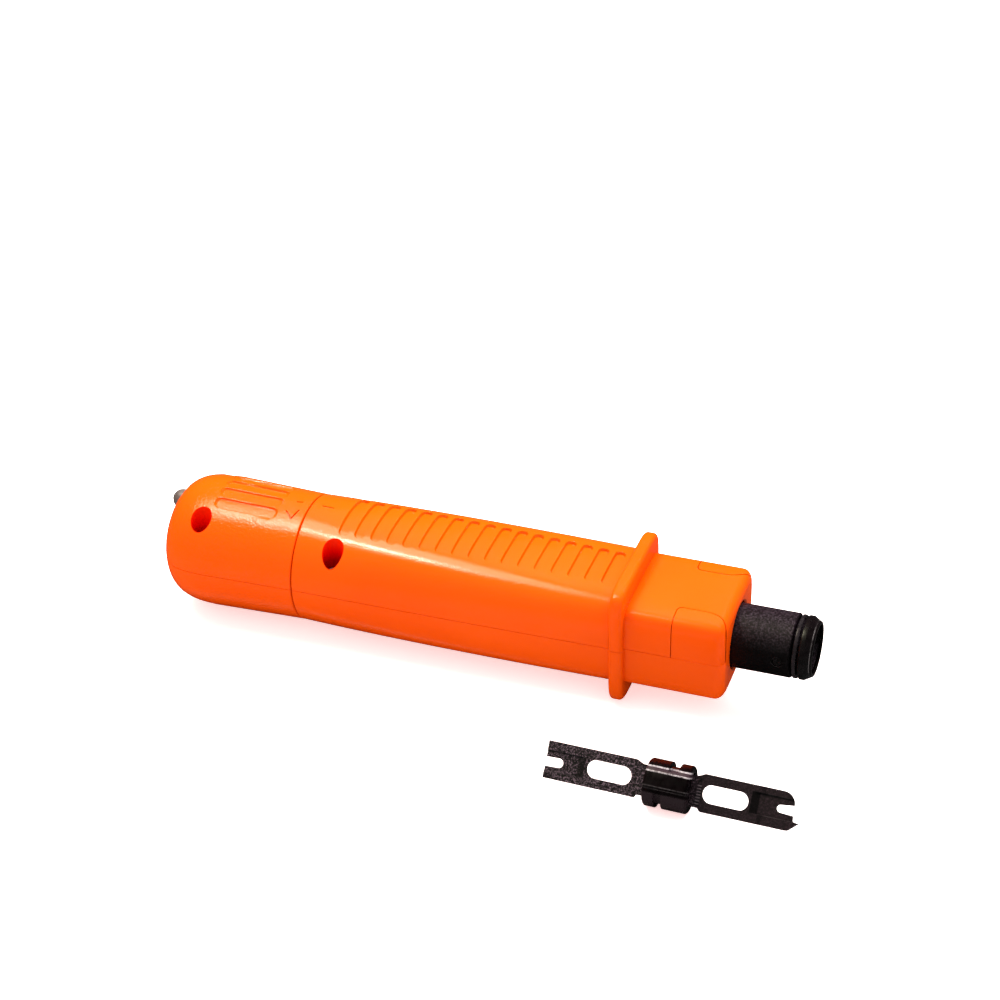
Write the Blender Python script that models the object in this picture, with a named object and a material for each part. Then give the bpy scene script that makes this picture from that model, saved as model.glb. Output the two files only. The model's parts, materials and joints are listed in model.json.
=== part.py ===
"""Impact punch-down tool with a loose twist-lock blade lying beside it.

Frame: +X runs along the tool from the butt to the nozzle, +Z is the ribbed
face with the screws, +Y is the left side seen from the butt.  The origin is the
centre of the flat butt face, on the tool's axis.  Sizes below are millimetres
and become metres through MM.
"""
import math

import bmesh
import bpy
from mathutils import Matrix, Vector

MM = 0.001
SMOOTH_ANGLE = math.radians(40.0)          # edges sharper than this stay hard

# ---------------------------------------------------------------- handle ----
SEAM = 0.15                                # half of the gap left between two neighbours
CAP_END_X = 33.75                          # front face of the swinging end cap
BODY_START_X = CAP_END_X + 2 * SEAM        # rear face of the body shells
BODY_END_X = 133.8                         # front face of the nose
PART_Z = 0.40                              # height of the parting line between half shells
WALL = 1.8                                 # moulded wall thickness

CAP_R = 15.2                               # largest radius of the end cap
CAP_SEAM_R = 14.6                          # radius where cap and body meet
GUARD_X0, GUARD_X1 = 108.4, 111.6          # finger guard

# Lengthwise places of the features inside the body
TUBE_SEAT_X = 37.0                         # the hollow widens ahead of the tube's seat
RIB_X0, RIB_X1 = 62.9, 65.1                # inner rib that carries the spring seat
CHAMBER_END_X = 111.3
BLOCK_HALF = 3.7                           # half length of a screw block along X

# ---------------------------------------------------------------- screws ----
CAP_SCREW = (10.4, 9.4, -9.0)              # X, +-Y and tip Z of the two cap screws
BODY_SCREW = (43.2, 10.7, -6.5)            # the same for the two body screws
WELL_R, HEAD_R, SHANK_R = 2.4, 2.05, 1.1
HEAD_Z, HEAD_H = 3.6, 1.6

# ------------------------------------------------- pivot, tube, mechanism ----
PIVOT_Z = 9.45                             # the end cap swings about this line, along X
ROD_R, ROD_HEAD_R = 1.2, 2.3
TUBE_R, TUBE_BORE_R, TUBE_END_X = 6.2, 5.5, 88.4
NOZZLE_R, NOZZLE_BORE_R, NOZZLE_TIP_X = 7.15, 5.4, 151.3
HAMMER_X0, HAMMER_X1, HAMMER_R = 90.0, 105.2, 8.0

# Heights above the outer surface that cutters reach to
CUT_TOP_Z, GROOVE_TOP_Z, EAR_TOP_Z = 20.0, 18.0, 25.0


# --------------------------------------------------------------- objects ----
for old in list(bpy.data.objects):
    bpy.data.objects.remove(old, do_unlink=True)


def material(name, color, roughness, metallic=0.0):
    mat = bpy.data.materials.new(name)
    mat.use_nodes = True
    inputs = mat.node_tree.nodes["Principled BSDF"].inputs
    inputs["Base Color"].default_value = (*color, 1.0)
    inputs["Roughness"].default_value = roughness
    inputs["Metallic"].default_value = metallic
    mat.diffuse_color = (*color, 1.0)
    return mat


def outward(shape):
    """Turn the faces of a closed bmesh outward."""
    bmesh.ops.recalc_face_normals(shape, faces=shape.faces)
    if shape.calc_volume(signed=True) < 0:
        bmesh.ops.reverse_faces(shape, faces=shape.faces)
    return shape


def add_object(name, shape):
    """Turn a bmesh given in millimetres into an object in metres."""
    bmesh.ops.scale(shape, vec=(MM, MM, MM), verts=shape.verts)
    outward(shape)
    mesh = bpy.data.meshes.new(name)
    shape.to_mesh(mesh)
    shape.free()
    obj = bpy.data.objects.new(name, mesh)
    bpy.context.scene.collection.objects.link(obj)
    return obj


def part(name, shape, mat, parent=None):
    """Visible piece; under a parent its origin is the parent's."""
    obj = add_object(name, shape)
    obj.data.materials.append(mat)
    obj.data.shade_smooth()
    obj.data.set_sharp_from_angle(angle=SMOOTH_ANGLE)
    if parent:
        obj.data.transform(Matrix.Translation(-parent.matrix_world.translation))
        obj.parent = parent
    return obj


def cutter(name, *shapes):
    """Hidden helper for booleans, made of one or more solids."""
    obj = add_object(name, merge(shapes))
    obj.hide_render = True
    obj.display_type = "WIRE"
    return obj


def axis_empty(name, place):
    """Empty at a place in millimetres, origin of the pieces that move together."""
    empty = bpy.data.objects.new(name, None)
    empty.empty_display_size = 0.01
    empty.matrix_world = Matrix.Translation(Vector(place) * MM)
    bpy.context.scene.collection.objects.link(empty)
    return empty


def boolean(obj, tool, operation="DIFFERENCE"):
    mod = obj.modifiers.new(operation.lower() + "_" + tool.name, "BOOLEAN")
    mod.operation = operation
    mod.object = tool
    mod.solver = "EXACT"


def cut(obj, *tools):
    for tool in tools:
        boolean(obj, tool)


# ---------------------------------------------------------------- shapes ----
def merge(shapes):
    """One bmesh holding all the given ones, which are freed."""
    merged = bmesh.new()
    for shape in shapes:
        mesh = bpy.data.meshes.new("tmp")
        shape.to_mesh(mesh)
        shape.free()
        merged.from_mesh(mesh)
        bpy.data.meshes.remove(mesh)
    return merged


def skin(point_rings):
    """Closed solid through rings that all have the same number of points."""
    shape = bmesh.new()
    rings = [[shape.verts.new(point) for point in ring] for ring in point_rings]
    count = len(rings[0])
    for ring, following in zip(rings[:-1], rings[1:]):
        for i in range(count):
            j = (i + 1) % count
            shape.faces.new((ring[i], ring[j], following[j], following[i]))
    shape.faces.new(list(reversed(rings[0])))
    shape.faces.new(rings[-1])
    return shape


def superellipse(half_w, half_h, power, count):
    """Points (y, z) of a section; power 2 is an ellipse, more is squarer."""
    points = []
    for i in range(count):
        angle = 2.0 * math.pi * (i + 0.5) / count
        cos, sin = math.cos(angle), math.sin(angle)
        points.append((half_w * math.copysign(abs(cos) ** (2.0 / power), cos),
                       half_h * math.copysign(abs(sin) ** (2.0 / power), sin)))
    return points


def loft(stations, count):
    """Closed solid through stations (x, half width, half height, power)."""
    return skin([[(x, y, z) for y, z in superellipse(half_w, half_h, power, count)]
                 for x, half_w, half_h, power in stations])


def aim(shape, axis, centre):
    """Turn a shape made along X to an axis and move it across to the centre.

    The centre is given in the two other coordinates, in alphabetical order.
    """
    if axis == "Z":
        turn = Matrix.Rotation(-math.pi / 2, 3, "Y")
        move = (centre[0], centre[1], 0.0)
    elif axis == "Y":
        turn = Matrix.Rotation(math.pi / 2, 3, "Z")
        move = (centre[0], 0.0, centre[1])
    else:
        turn = Matrix.Identity(3)
        move = (0.0, centre[0], centre[1])
    bmesh.ops.rotate(shape, verts=shape.verts, cent=(0, 0, 0), matrix=turn)
    bmesh.ops.translate(shape, verts=shape.verts, vec=move)
    return shape


def turned(profile, count, centre=(0.0, 0.0), axis="X"):
    """Solid of revolution from a profile (along, radius).

    A profile that starts and ends at radius 0 is a solid; any other profile is
    closed on itself and gives a ring.
    """
    shape = bmesh.new()
    rings = []
    for along, radius in profile:
        if radius == 0.0:
            rings.append([shape.verts.new((along, 0.0, 0.0))])
        else:
            rings.append([shape.verts.new((along, radius * math.cos(2 * math.pi * i / count),
                                           radius * math.sin(2 * math.pi * i / count)))
                          for i in range(count)])
    pairs = list(zip(rings[:-1], rings[1:]))
    if profile[0][1] != 0.0 or profile[-1][1] != 0.0:
        pairs.append((rings[-1], rings[0]))
    for ring, following in pairs:
        for i in range(count):
            j = (i + 1) % count
            if len(ring) == 1:
                shape.faces.new((ring[0], following[j], following[i]))
            elif len(following) == 1:
                shape.faces.new((ring[i], ring[j], following[0]))
            else:
                shape.faces.new((ring[i], ring[j], following[j], following[i]))
    return aim(shape, axis, centre)


def cylinder(start, end, radius, count, centre=(0.0, 0.0), axis="X"):
    return turned([(start, 0.0), (start, radius), (end, radius), (end, 0.0)],
                  count, centre, axis)


def prism(outline, low, high, axis="Z"):
    """Extrude an outline, given in the two other coordinates, along an axis."""
    place = {"Z": lambda u, v, w: (u, v, w), "Y": lambda u, v, w: (u, w, v),
             "X": lambda u, v, w: (w, u, v)}[axis]
    return skin([[place(u, v, level) for u, v in outline] for level in (low, high)])


def box(x0, x1, y0, y1, z0, z1):
    return prism([(x0, y0), (x1, y0), (x1, y1), (x0, y1)], z0, z1)


def coil(start, end, radius, wire_r, turns, per_turn, sides, axis="X", centre=(0.0, 0.0)):
    """Compression spring, wire centre from start to end, one closed turn at each end."""
    steps = int(turns * per_turn)
    end_pitch = 2.3 * wire_r
    pitch = (end - start - 2 * end_pitch) / (turns - 2)
    rings = []
    for k in range(steps + 1):
        turn = turns * k / steps
        if turn < 1.0:
            along = start + end_pitch * turn
        elif turn > turns - 1.0:
            along = end - end_pitch * (turns - turn)
        else:
            along = start + end_pitch + pitch * (turn - 1.0)
        angle = 2 * math.pi * turn
        ring = []
        for side in range(sides):
            around = 2 * math.pi * side / sides
            out = radius + wire_r * math.cos(around)
            ring.append((along + wire_r * math.sin(around),
                         out * math.cos(angle), out * math.sin(angle)))
        rings.append(ring)
    return aim(skin(rings), axis, centre)


# ------------------------------------------------------------- materials ----
ORANGE = material("orange_plastic", color=(0.95, 0.20, 0.01), roughness=0.38)
BLACK_NOZZLE = material("black_steel", color=(0.018, 0.016, 0.017), roughness=0.5, metallic=0.4)
BLACK_COLLAR = material("black_collar", color=(0.02, 0.018, 0.02), roughness=0.35, metallic=0.5)
BRIGHT = material("bright_steel", color=(0.75, 0.74, 0.72), roughness=0.25, metallic=1.0)
STEEL = material("plain_steel", color=(0.42, 0.38, 0.35), roughness=0.4, metallic=1.0)
HAMMER_STEEL = material("hammer_steel", color=(0.30, 0.30, 0.32), roughness=0.4, metallic=1.0)
SPRING_STEEL = material("spring_steel", color=(0.5, 0.5, 0.52), roughness=0.3, metallic=1.0)
ZINC = material("zinc_screw", color=(0.6, 0.6, 0.62), roughness=0.35, metallic=1.0)
NATURAL = material("natural_plastic", color=(0.7, 0.68, 0.62), roughness=0.5)
BLADE_STEEL = material("oxide_blade", color=(0.02, 0.02, 0.022), roughness=0.42, metallic=0.6)


# ---------------------------------------------- cutters common to shells ----
def side_box(end_x, z0, z1):
    """Everything up to end_x between two heights, wider than the tool."""
    return box(-20, end_x, -40, 40, z0, z1)


def hole_pair(name, x, y, radius, z0, z1, count):
    """Two upright holes, right and left."""
    return cutter(name, *[cylinder(z0, z1, radius, count, (x, side * y), "Z")
                          for side in (-1, 1)])


def screw_holes(x, y, tip_z):
    """Head wells and clearance holes of an upper shell, pilot holes of a lower one."""
    tag = round(x)
    return (hole_pair("well_cut_%d" % tag, x, y, WELL_R, HEAD_Z - 0.3, CUT_TOP_Z, 20),
            hole_pair("clearance_cut_%d" % tag, x, y, SHANK_R + 0.4, -2.0, HEAD_Z, 12),
            hole_pair("pilot_cut_%d" % tag, x, y, SHANK_R + 0.3, tip_z - 0.5, 2.0, 12))


def half_shell(name, outer, hollow, side, cuts, parent=None):
    shell = part(name, outer, ORANGE, parent)
    cut(shell, hollow)
    boolean(shell, side, "INTERSECT")
    cut(shell, *cuts)


upper_side = cutter("upper_side", side_box(160, PART_Z + SEAM, 40))
pivot_bore = cutter("pivot_bore", cylinder(-4.0, 45.0, ROD_R + 0.35, 14, (0.0, PIVOT_Z)))

# ----------------------------------------------------------- body shells ----
REAR_HALF_W, FRONT_HALF_W = CAP_SEAM_R, 13.9
REAR_HALF_H, FRONT_HALF_H = 14.56, 11.96
REAR_POWER, FRONT_POWER = 2.0, 3.6         # section: round at the rear, squarer ahead
BODY_XS = (BODY_START_X, 40.0, 48.0, 58.0, 70.0, 82.0, 94.0, GUARD_X0)

GUARD_HALF_W, GUARD_HALF_H, GUARD_POWER = 14.75, 14.1, 8.0
GUARD_EDGE = ((0.0, 0.7), (0.25, 0.2), (0.8, 0.0))  # distance from face, shrink of section
NOSE_HALF_W, NOSE_HALF_H, NOSE_POWER = 12.95, 10.1, 8.0
NOSE_EDGE, NOSE_EDGE_STEPS = 2.2, 4        # rounding of the nose's front edge

TUBE_HOLE_R = TUBE_R + 0.45
RIB_BORE_R = 7.2
GUIDE_R, MOUTH_R = 7.5, 7.7                # nozzle guide and its wider front end

EAR_X0, EAR_Y = 122.1, 7.3                 # rear edge and inner edge of the locking ears
EAR_OUT_X, EAR_OUT_Y = 135.2, 30.0         # beyond the nose

GROOVES = 17                               # cross grooves of the grip, on both faces
GROOVE_X0, GROOVE_PITCH = 44.2, 3.82
GROOVE_W, GROOVE_DEPTH = 2.3, 0.6
GROOVE_HALF, GROOVE_SHORTENING = 7.25, 1.05     # half length, its loss towards the guard
GROOVE_TAPER_X0, GROOVE_TAPER_X1 = 58.0, 104.0  # the loss builds up between these
# Rounded end: distance from the end of the groove, share of its width
GROOVE_ENDS = ((0.0, 0.30), (0.15, 0.62), (0.5, 0.88), (1.15, 1.0))
DASH_DEPTH = 0.35                          # engraved dashes on body and cap


def body_section(x):
    """Half width, half height and power of the body's outside at x."""
    share = (x - BODY_START_X) / (GUARD_X0 - BODY_START_X)
    return (REAR_HALF_W + (FRONT_HALF_W - REAR_HALF_W) * share * share,
            REAR_HALF_H + (FRONT_HALF_H - REAR_HALF_H) * share,
            REAR_POWER + (FRONT_POWER - REAR_POWER) * share)


def body_surface_z(x, y):
    """Height of the body's outer surface above (x, y)."""
    half_w, half_h, power = body_section(x)
    return half_h * (1.0 - abs(y / half_w) ** power) ** (1.0 / power)


def body_outer():
    stations = [(x, *body_section(x)) for x in BODY_XS]
    guard = [(GUARD_X0 + inset, shrink) for inset, shrink in GUARD_EDGE]
    guard += [(GUARD_X1 - inset, shrink) for inset, shrink in reversed(GUARD_EDGE)]
    stations += [(x, GUARD_HALF_W - shrink, GUARD_HALF_H - shrink, GUARD_POWER)
                 for x, shrink in guard]
    stations.append((GUARD_X1, NOSE_HALF_W, NOSE_HALF_H, NOSE_POWER))
    for k in range(NOSE_EDGE_STEPS + 1):
        angle = math.radians(90.0 * k / NOSE_EDGE_STEPS)
        shrink = NOSE_EDGE * (1 - math.cos(angle))
        stations.append((BODY_END_X - NOSE_EDGE * (1 - math.sin(angle)),
                         NOSE_HALF_W - shrink, NOSE_HALF_H - shrink, NOSE_POWER))
    return loft(stations, 36)


def body_inner():
    """Hollow of the two shells: storage bore, screw blocks, chamber, nozzle guide."""
    def full(x):
        half_w, half_h, power = body_section(x)
        return (x, half_w - WALL, half_h - WALL, power)

    def bore(x, radius):
        return (x, radius, radius, 2.0)

    block_x0, block_x1 = BODY_SCREW[0] - BLOCK_HALF, BODY_SCREW[0] + BLOCK_HALF
    stations = [
        bore(BODY_START_X - 1.0, TUBE_HOLE_R), bore(TUBE_SEAT_X, TUBE_HOLE_R),
        full(TUBE_SEAT_X), full(block_x0),
        (block_x0, TUBE_HOLE_R + 0.2, 11.6, 2.6), (block_x1, TUBE_HOLE_R + 0.2, 11.4, 2.6),
        full(block_x1), full(RIB_X0),
        bore(RIB_X0, RIB_BORE_R), bore(RIB_X1, RIB_BORE_R),
        full(RIB_X1), full(80.0), full(95.0), full(GUARD_X0),
        (CHAMBER_END_X, FRONT_HALF_W - WALL - 0.5, FRONT_HALF_H - WALL - 0.2, FRONT_POWER),
        bore(CHAMBER_END_X, GUIDE_R), bore(128.0, GUIDE_R),
        bore(128.6, MOUTH_R), bore(BODY_END_X + 1.0, MOUTH_R)]
    return loft(stations, 28)


def ear_prisms(grow, low_z):
    """The right and the left locking ear, grown towards rear and middle."""
    x0, y0 = EAR_X0 - grow, EAR_Y - grow
    outline = [(x0, EAR_OUT_Y), (x0, y0), (129.4, y0), (131.9, y0 + 0.7), (133.3, y0 + 1.9),
               (EAR_OUT_X, y0 + 3.4), (EAR_OUT_X, EAR_OUT_Y)]
    return [prism([(x, side * y) for x, y in outline], low_z, EAR_TOP_Z) for side in (-1, 1)]


def groove(x, face):
    """Bar across the body that follows its crown; face is 1 on top, -1 below."""
    taper = (x - GROOVE_TAPER_X0) / (GROOVE_TAPER_X1 - GROOVE_TAPER_X0)
    half = GROOVE_HALF - GROOVE_SHORTENING * min(1.0, max(0.0, taper))
    plan = [(-half + inset, share) for inset, share in GROOVE_ENDS]
    plan += [(-2.8, 1.0), (0.0, 1.0), (2.8, 1.0)]
    plan += [(half - inset, share) for inset, share in reversed(GROOVE_ENDS)]
    rings = []
    for y, share in plan:
        half_w = 0.5 * GROOVE_W * share
        floor_z = face * (body_surface_z(x, y) - GROOVE_DEPTH)
        out_z = face * GROOVE_TOP_Z
        rings.append([(x - half_w, y, floor_z), (x + half_w, y, floor_z),
                      (x + half_w, y, out_z), (x - half_w, y, out_z)])
    return outward(skin(rings))


def groove_set(name, face):
    return cutter(name, *[groove(GROOVE_X0 + GROOVE_PITCH * i, face) for i in range(GROOVES)])


body_hollow = cutter("body_hollow", body_inner())
body_wells, body_clearance, body_pilots = screw_holes(*BODY_SCREW)
ear_room = cutter("ear_room", *ear_prisms(SEAM, -5))
body_dash = cutter("body_dash", box(36.6, 39.2, -0.2, 0.2,
                                    body_surface_z(38, 0) - DASH_DEPTH, CUT_TOP_Z))
half_shell("upper_shell", body_outer(), body_hollow, upper_side,
           [ear_room, pivot_bore, body_wells, body_clearance,
            groove_set("grooves_top", 1), body_dash])

# The ears belong to the lower shell and rise through the upper one
lower_side = cutter("lower_side", side_box(160, -40, PART_Z - SEAM))
boolean(lower_side, cutter("ears", *ear_prisms(-SEAM, -8)), "UNION")
half_shell("lower_shell", body_outer(), body_hollow, lower_side,
           [body_pilots, groove_set("grooves_bottom", -1)])

# -------------------------------------------------------- end cap shells ----
DOME_X0, DOME_DEPTH, DOME_POWER = -0.31, 15.5, 3.7
DOME_END_X = 12.0                          # ahead of this the cap is a plain cone
CAP_XS = (0.0, 0.3, 0.9, 1.8, 3.0, 4.6, 6.8, 9.6, 14.0, 20.0, 27.0, CAP_END_X)

CAP_SLOT_YS = (-5.25, -1.75, 1.75, 5.25)   # lengthwise thumb slots of the cap
CAP_SLOT_X0, CAP_SLOT_X1 = 12.2, 27.4
CAP_SLOT_W, CAP_SLOT_DEPTH = 2.7, 0.55
# Share of the slot's length, share of its width
CAP_SLOT_PLAN = ((0.0, 0.5), (0.06, 1.0), (0.5, 1.0), (0.94, 1.0), (1.0, 0.5))

# Engraved arrow, (x, y)
ARROW = ((28.3, -0.9), (28.7, -0.9), (29.35, -2.6), (30.3, -0.6),
         (30.7, -0.6), (29.45, -3.3), (29.2, -3.3))
ARROW_DEPTH = 0.3


def dome_radius(x):
    back = 1.0 - (x - DOME_X0) / DOME_DEPTH
    return CAP_R * (1.0 - back ** DOME_POWER) ** (1.0 / DOME_POWER)


def cap_radius(x):
    if x < DOME_END_X:
        return dome_radius(x)
    start_r = dome_radius(DOME_END_X)
    return start_r + (CAP_SEAM_R - start_r) * (x - DOME_END_X) / (CAP_END_X - DOME_END_X)


def cap_outer():
    return loft([(x, cap_radius(x), cap_radius(x), 2.0) for x in CAP_XS], 36)


def cap_inner():
    def round_at(x, radius_x):
        radius = cap_radius(radius_x) - WALL - 0.1
        return (x, radius, radius, 2.0)

    block_x0, block_x1 = CAP_SCREW[0] - BLOCK_HALF, CAP_SCREW[0] + BLOCK_HALF
    return loft([(4.4, 9.0, 9.0, 2.0), (5.2, 11.4, 11.4, 2.0),
                 round_at(block_x0, block_x0), (block_x0, 5.8, 12.2, 2.4),
                 (block_x1, 5.8, 12.4, 2.4), round_at(block_x1, block_x1),
                 round_at(24.0, 24.0), round_at(CAP_END_X + 1.0, 33.0)], 28)


def cap_slot(y, face):
    """Lengthwise thumb slot that follows the cap's curvature."""
    rings = []
    for along, share in CAP_SLOT_PLAN:
        x = CAP_SLOT_X0 + (CAP_SLOT_X1 - CAP_SLOT_X0) * along
        half_w = 0.5 * CAP_SLOT_W * share
        floor_r = cap_radius(x) - CAP_SLOT_DEPTH
        ring = [(x, edge, face * math.sqrt(floor_r * floor_r - edge * edge))
                for edge in (y - half_w, y, y + half_w)]
        ring += [(x, y + half_w, face * GROOVE_TOP_Z), (x, y - half_w, face * GROOVE_TOP_Z)]
        rings.append(ring)
    return outward(skin(rings))


def cap_slot_set(name, face):
    return cutter(name, *[cap_slot(y, face) for y in CAP_SLOT_YS])


cap_axis = axis_empty("cap_swing_axis", (CAP_END_X, 0.0, PIVOT_Z))
cap_hollow = cutter("cap_hollow", cap_inner())
head_seat = cutter("head_seat", cylinder(-6.0, 3.1, 3.3, 20, (0.0, PIVOT_Z)))
cap_wells, cap_clearance, cap_pilots = screw_holes(*CAP_SCREW)
cap_dash = cutter("cap_dash", box(30.3, 31.9, 0.3, 0.7,
                                  cap_radius(31) - DASH_DEPTH, CUT_TOP_Z))
arrow_z = math.sqrt(cap_radius(29) ** 2 - 2.0 ** 2) - ARROW_DEPTH  # below the surface at y = -2
arrow = cutter("arrow", prism(ARROW, arrow_z, CUT_TOP_Z))
half_shell("cap_upper_shell", cap_outer(), cap_hollow, upper_side,
           [pivot_bore, head_seat, cap_wells, cap_clearance,
            cap_slot_set("cap_slots_top", 1), cap_dash, arrow], cap_axis)

cap_lower_side = cutter("cap_lower_side", side_box(60, -40, PART_Z - SEAM))
half_shell("cap_lower_shell", cap_outer(), cap_hollow, cap_lower_side,
           [cap_pilots, cap_slot_set("cap_slots_bottom", -1)], cap_axis)

# ---------------------------------------------------------------- screws ----
CROSS_ARM, CROSS_HALF_W, CROSS_DEPTH = 1.15, 0.26, 0.9


def screw(name, x, y, tip_z, parent):
    """Upright cross-head screw."""
    top_z = HEAD_Z + HEAD_H
    profile = [(tip_z, 0.0), (tip_z + 0.9, SHANK_R * 0.8), (tip_z + 1.6, SHANK_R),
               (HEAD_Z, SHANK_R), (HEAD_Z, HEAD_R), (HEAD_Z + HEAD_H * 0.55, HEAD_R),
               (HEAD_Z + HEAD_H * 0.88, HEAD_R * 0.72), (top_z, HEAD_R * 0.4), (top_z, 0.0)]
    obj = part(name, turned(profile, 16, (x, y), "Z"), ZINC, parent)
    arm, half = CROSS_ARM, CROSS_HALF_W
    plus = [(-arm, -half), (-half, -half), (-half, -arm), (half, -arm), (half, -half),
            (arm, -half), (arm, half), (half, half), (half, arm), (-half, arm),
            (-half, half), (-arm, half)]
    cut(obj, cutter(name + "_cross", prism([(x + u, y + v) for u, v in plus],
                                           top_z - CROSS_DEPTH, HEAD_Z + 4.0)))


for owner, (screw_x, screw_y, screw_tip_z), screw_parent in (
        ("body", BODY_SCREW, None), ("cap", CAP_SCREW, cap_axis)):
    for side_name, side in (("right", -1), ("left", 1)):
        screw("%s_screw_%s" % (owner, side_name), screw_x, side * screw_y, screw_tip_z,
              screw_parent)

# ------------------------------------------------------------- cap pivot ----
ROD_HEAD_X, ROD_END_X = -1.35, 40.4
ROD_SLOT_DEPTH, ROD_SLOT_HALF_W = 0.8, 0.4
NUT_R, NUT_X0, NUT_X1 = 2.2, TUBE_SEAT_X + 0.35, TUBE_SEAT_X + 2.35

rod_head = [(ROD_HEAD_X + ROD_HEAD_R * (1.0 - math.cos(math.radians(angle))),
             ROD_HEAD_R * math.sin(math.radians(angle))) for angle in (18, 36, 54, 72, 90)]
pivot = part("pivot_screw", turned(
    [(ROD_HEAD_X, 0.0)] + rod_head
    + [(1.6, ROD_HEAD_R), (1.9, ROD_HEAD_R - 0.25), (1.9, ROD_R), (ROD_END_X - 0.6, ROD_R),
       (ROD_END_X, ROD_R - 0.4), (ROD_END_X, 0.0)], 20, (0.0, PIVOT_Z)), STEEL)
cut(pivot, cutter("pivot_slot", box(ROD_HEAD_X - 2, ROD_HEAD_X + ROD_SLOT_DEPTH, -5, 5,
                                    PIVOT_Z - ROD_SLOT_HALF_W, PIVOT_Z + ROD_SLOT_HALF_W)))

part("pivot_washer", turned([(2.15, 1.5), (2.15, 3.0), (2.75, 3.0), (2.75, 1.5)], 20,
                            (0.0, PIVOT_Z)), BRIGHT)

hexagon = [(NUT_R * math.cos(math.radians(60 * i)),
            PIVOT_Z + NUT_R * math.sin(math.radians(60 * i))) for i in range(6)]
nut = part("pivot_nut", prism(hexagon, NUT_X0, NUT_X1, "X"), ZINC)
cut(nut, cutter("nut_bore", cylinder(36.0, 41.0, ROD_R + 0.3, 14, (0.0, PIVOT_Z))))

# ----------------------------------------------------- fixed inner parts ----
TUBE_X0 = BODY_START_X + 0.4
TUBE_FLANGE_X0, TUBE_FLANGE_X1, TUBE_FLANGE_R = TUBE_SEAT_X + 0.35, 38.6, 7.05
TUBE_FLOOR = 1.1
SEAT_X0, SEAT_X1, SEAT_R = RIB_X1 + 2 * SEAM, 67.0, 9.6
WEDGE = ((91.4, -9.95), (100.4, -9.95), (100.4, -9.67), (91.4, -8.17))  # (x, z)
WEDGE_HALF_W = 2.6

# Open at the rear, closed at the front
part("storage_tube", turned(
    [(TUBE_END_X - TUBE_FLOOR, 0.0), (TUBE_END_X - TUBE_FLOOR, TUBE_BORE_R),
     (TUBE_X0 + 0.45, TUBE_BORE_R), (TUBE_X0, TUBE_BORE_R + 0.25), (TUBE_X0, TUBE_R),
     (TUBE_FLANGE_X0, TUBE_R), (TUBE_FLANGE_X0, TUBE_FLANGE_R),
     (TUBE_FLANGE_X1, TUBE_FLANGE_R), (TUBE_FLANGE_X1, TUBE_R),
     (TUBE_END_X - 0.6, TUBE_R), (TUBE_END_X, TUBE_R - 0.6), (TUBE_END_X, 0.0)], 20), NATURAL)
part("spring_seat", turned([(SEAT_X0, TUBE_R + 0.35), (SEAT_X0, SEAT_R), (SEAT_X1, SEAT_R),
                            (SEAT_X1, TUBE_R + 0.35)], 24), STEEL)
part("release_wedge", prism(WEDGE, -WEDGE_HALF_W, WEDGE_HALF_W, "Y"), STEEL)

# -------------------------------------------------------- sliding nozzle ----
FLANGE_X0, FLANGE_R = 109.2, 8.8           # rear flange of the barrel
STRIKER_R, STRIKER_HOLE_R = 2.4, 2.75
BAYONET_X = 144.0
# Profiles are (x, radius)
BARREL = ((120.0, 0.0), (121.0, NOZZLE_BORE_R - 1.0), (121.6, NOZZLE_BORE_R),
          (150.5, NOZZLE_BORE_R), (150.5, 6.0), (146.75, 6.0), (146.75, 6.75),
          (146.45, NOZZLE_R), (CHAMBER_END_X, NOZZLE_R), (111.0, FLANGE_R),
          (FLANGE_X0, FLANGE_R), (FLANGE_X0, STRIKER_HOLE_R), (114.0, STRIKER_HOLE_R),
          (114.0, 0.0))
STRIKER = ((103.4, 0.0), (103.4, STRIKER_R - 0.5), (103.9, STRIKER_R), (113.7, STRIKER_R),
           (113.7, 0.0))
RETAINING_RING = ((147.15, 6.3), (147.15, 6.85), (147.35, 7.05), (147.75, 7.05),
                  (147.95, 6.85), (147.95, 6.3))
LOCK_COLLAR = ((148.35, 6.35), (148.35, 6.8), (148.6, 7.1), (149.55, 7.1),
               (NOZZLE_TIP_X, 6.05), (NOZZLE_TIP_X, 5.45), (150.85, 5.45), (150.85, 6.35))
# Distance from the tool's axis, radius
BAYONET_PIN = ((4.45, 0.0), (4.45, 0.8), (4.65, 1.05), (6.8, 1.05), (7.0, 0.8),
               (7.0, 0.45), (6.75, 0.3), (6.75, 0.0))

nozzle_axis = axis_empty("impact_stroke_axis", (BODY_END_X, 0.0, 0.0))
barrel = part("nozzle_barrel", turned(BARREL, 28), BLACK_NOZZLE, nozzle_axis)
for side_name, side in (("right", -1), ("left", 1)):
    cut(barrel, cutter("bayonet_hole_" + side_name,
                       cylinder(side * 4.0, side * 9.0, 1.35, 14, (BAYONET_X, 0.0), "Y")))
    part("bayonet_pin_" + side_name,
         turned([(side * out, radius) for out, radius in BAYONET_PIN], 14,
                (BAYONET_X, 0.0), "Y"), BLACK_COLLAR, nozzle_axis)
part("striker_pin", turned(STRIKER, 20), HAMMER_STEEL, nozzle_axis)
part("retaining_ring", turned(RETAINING_RING, 28), BRIGHT, nozzle_axis)
part("lock_collar", turned(LOCK_COLLAR, 28), BLACK_COLLAR, nozzle_axis)

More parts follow.
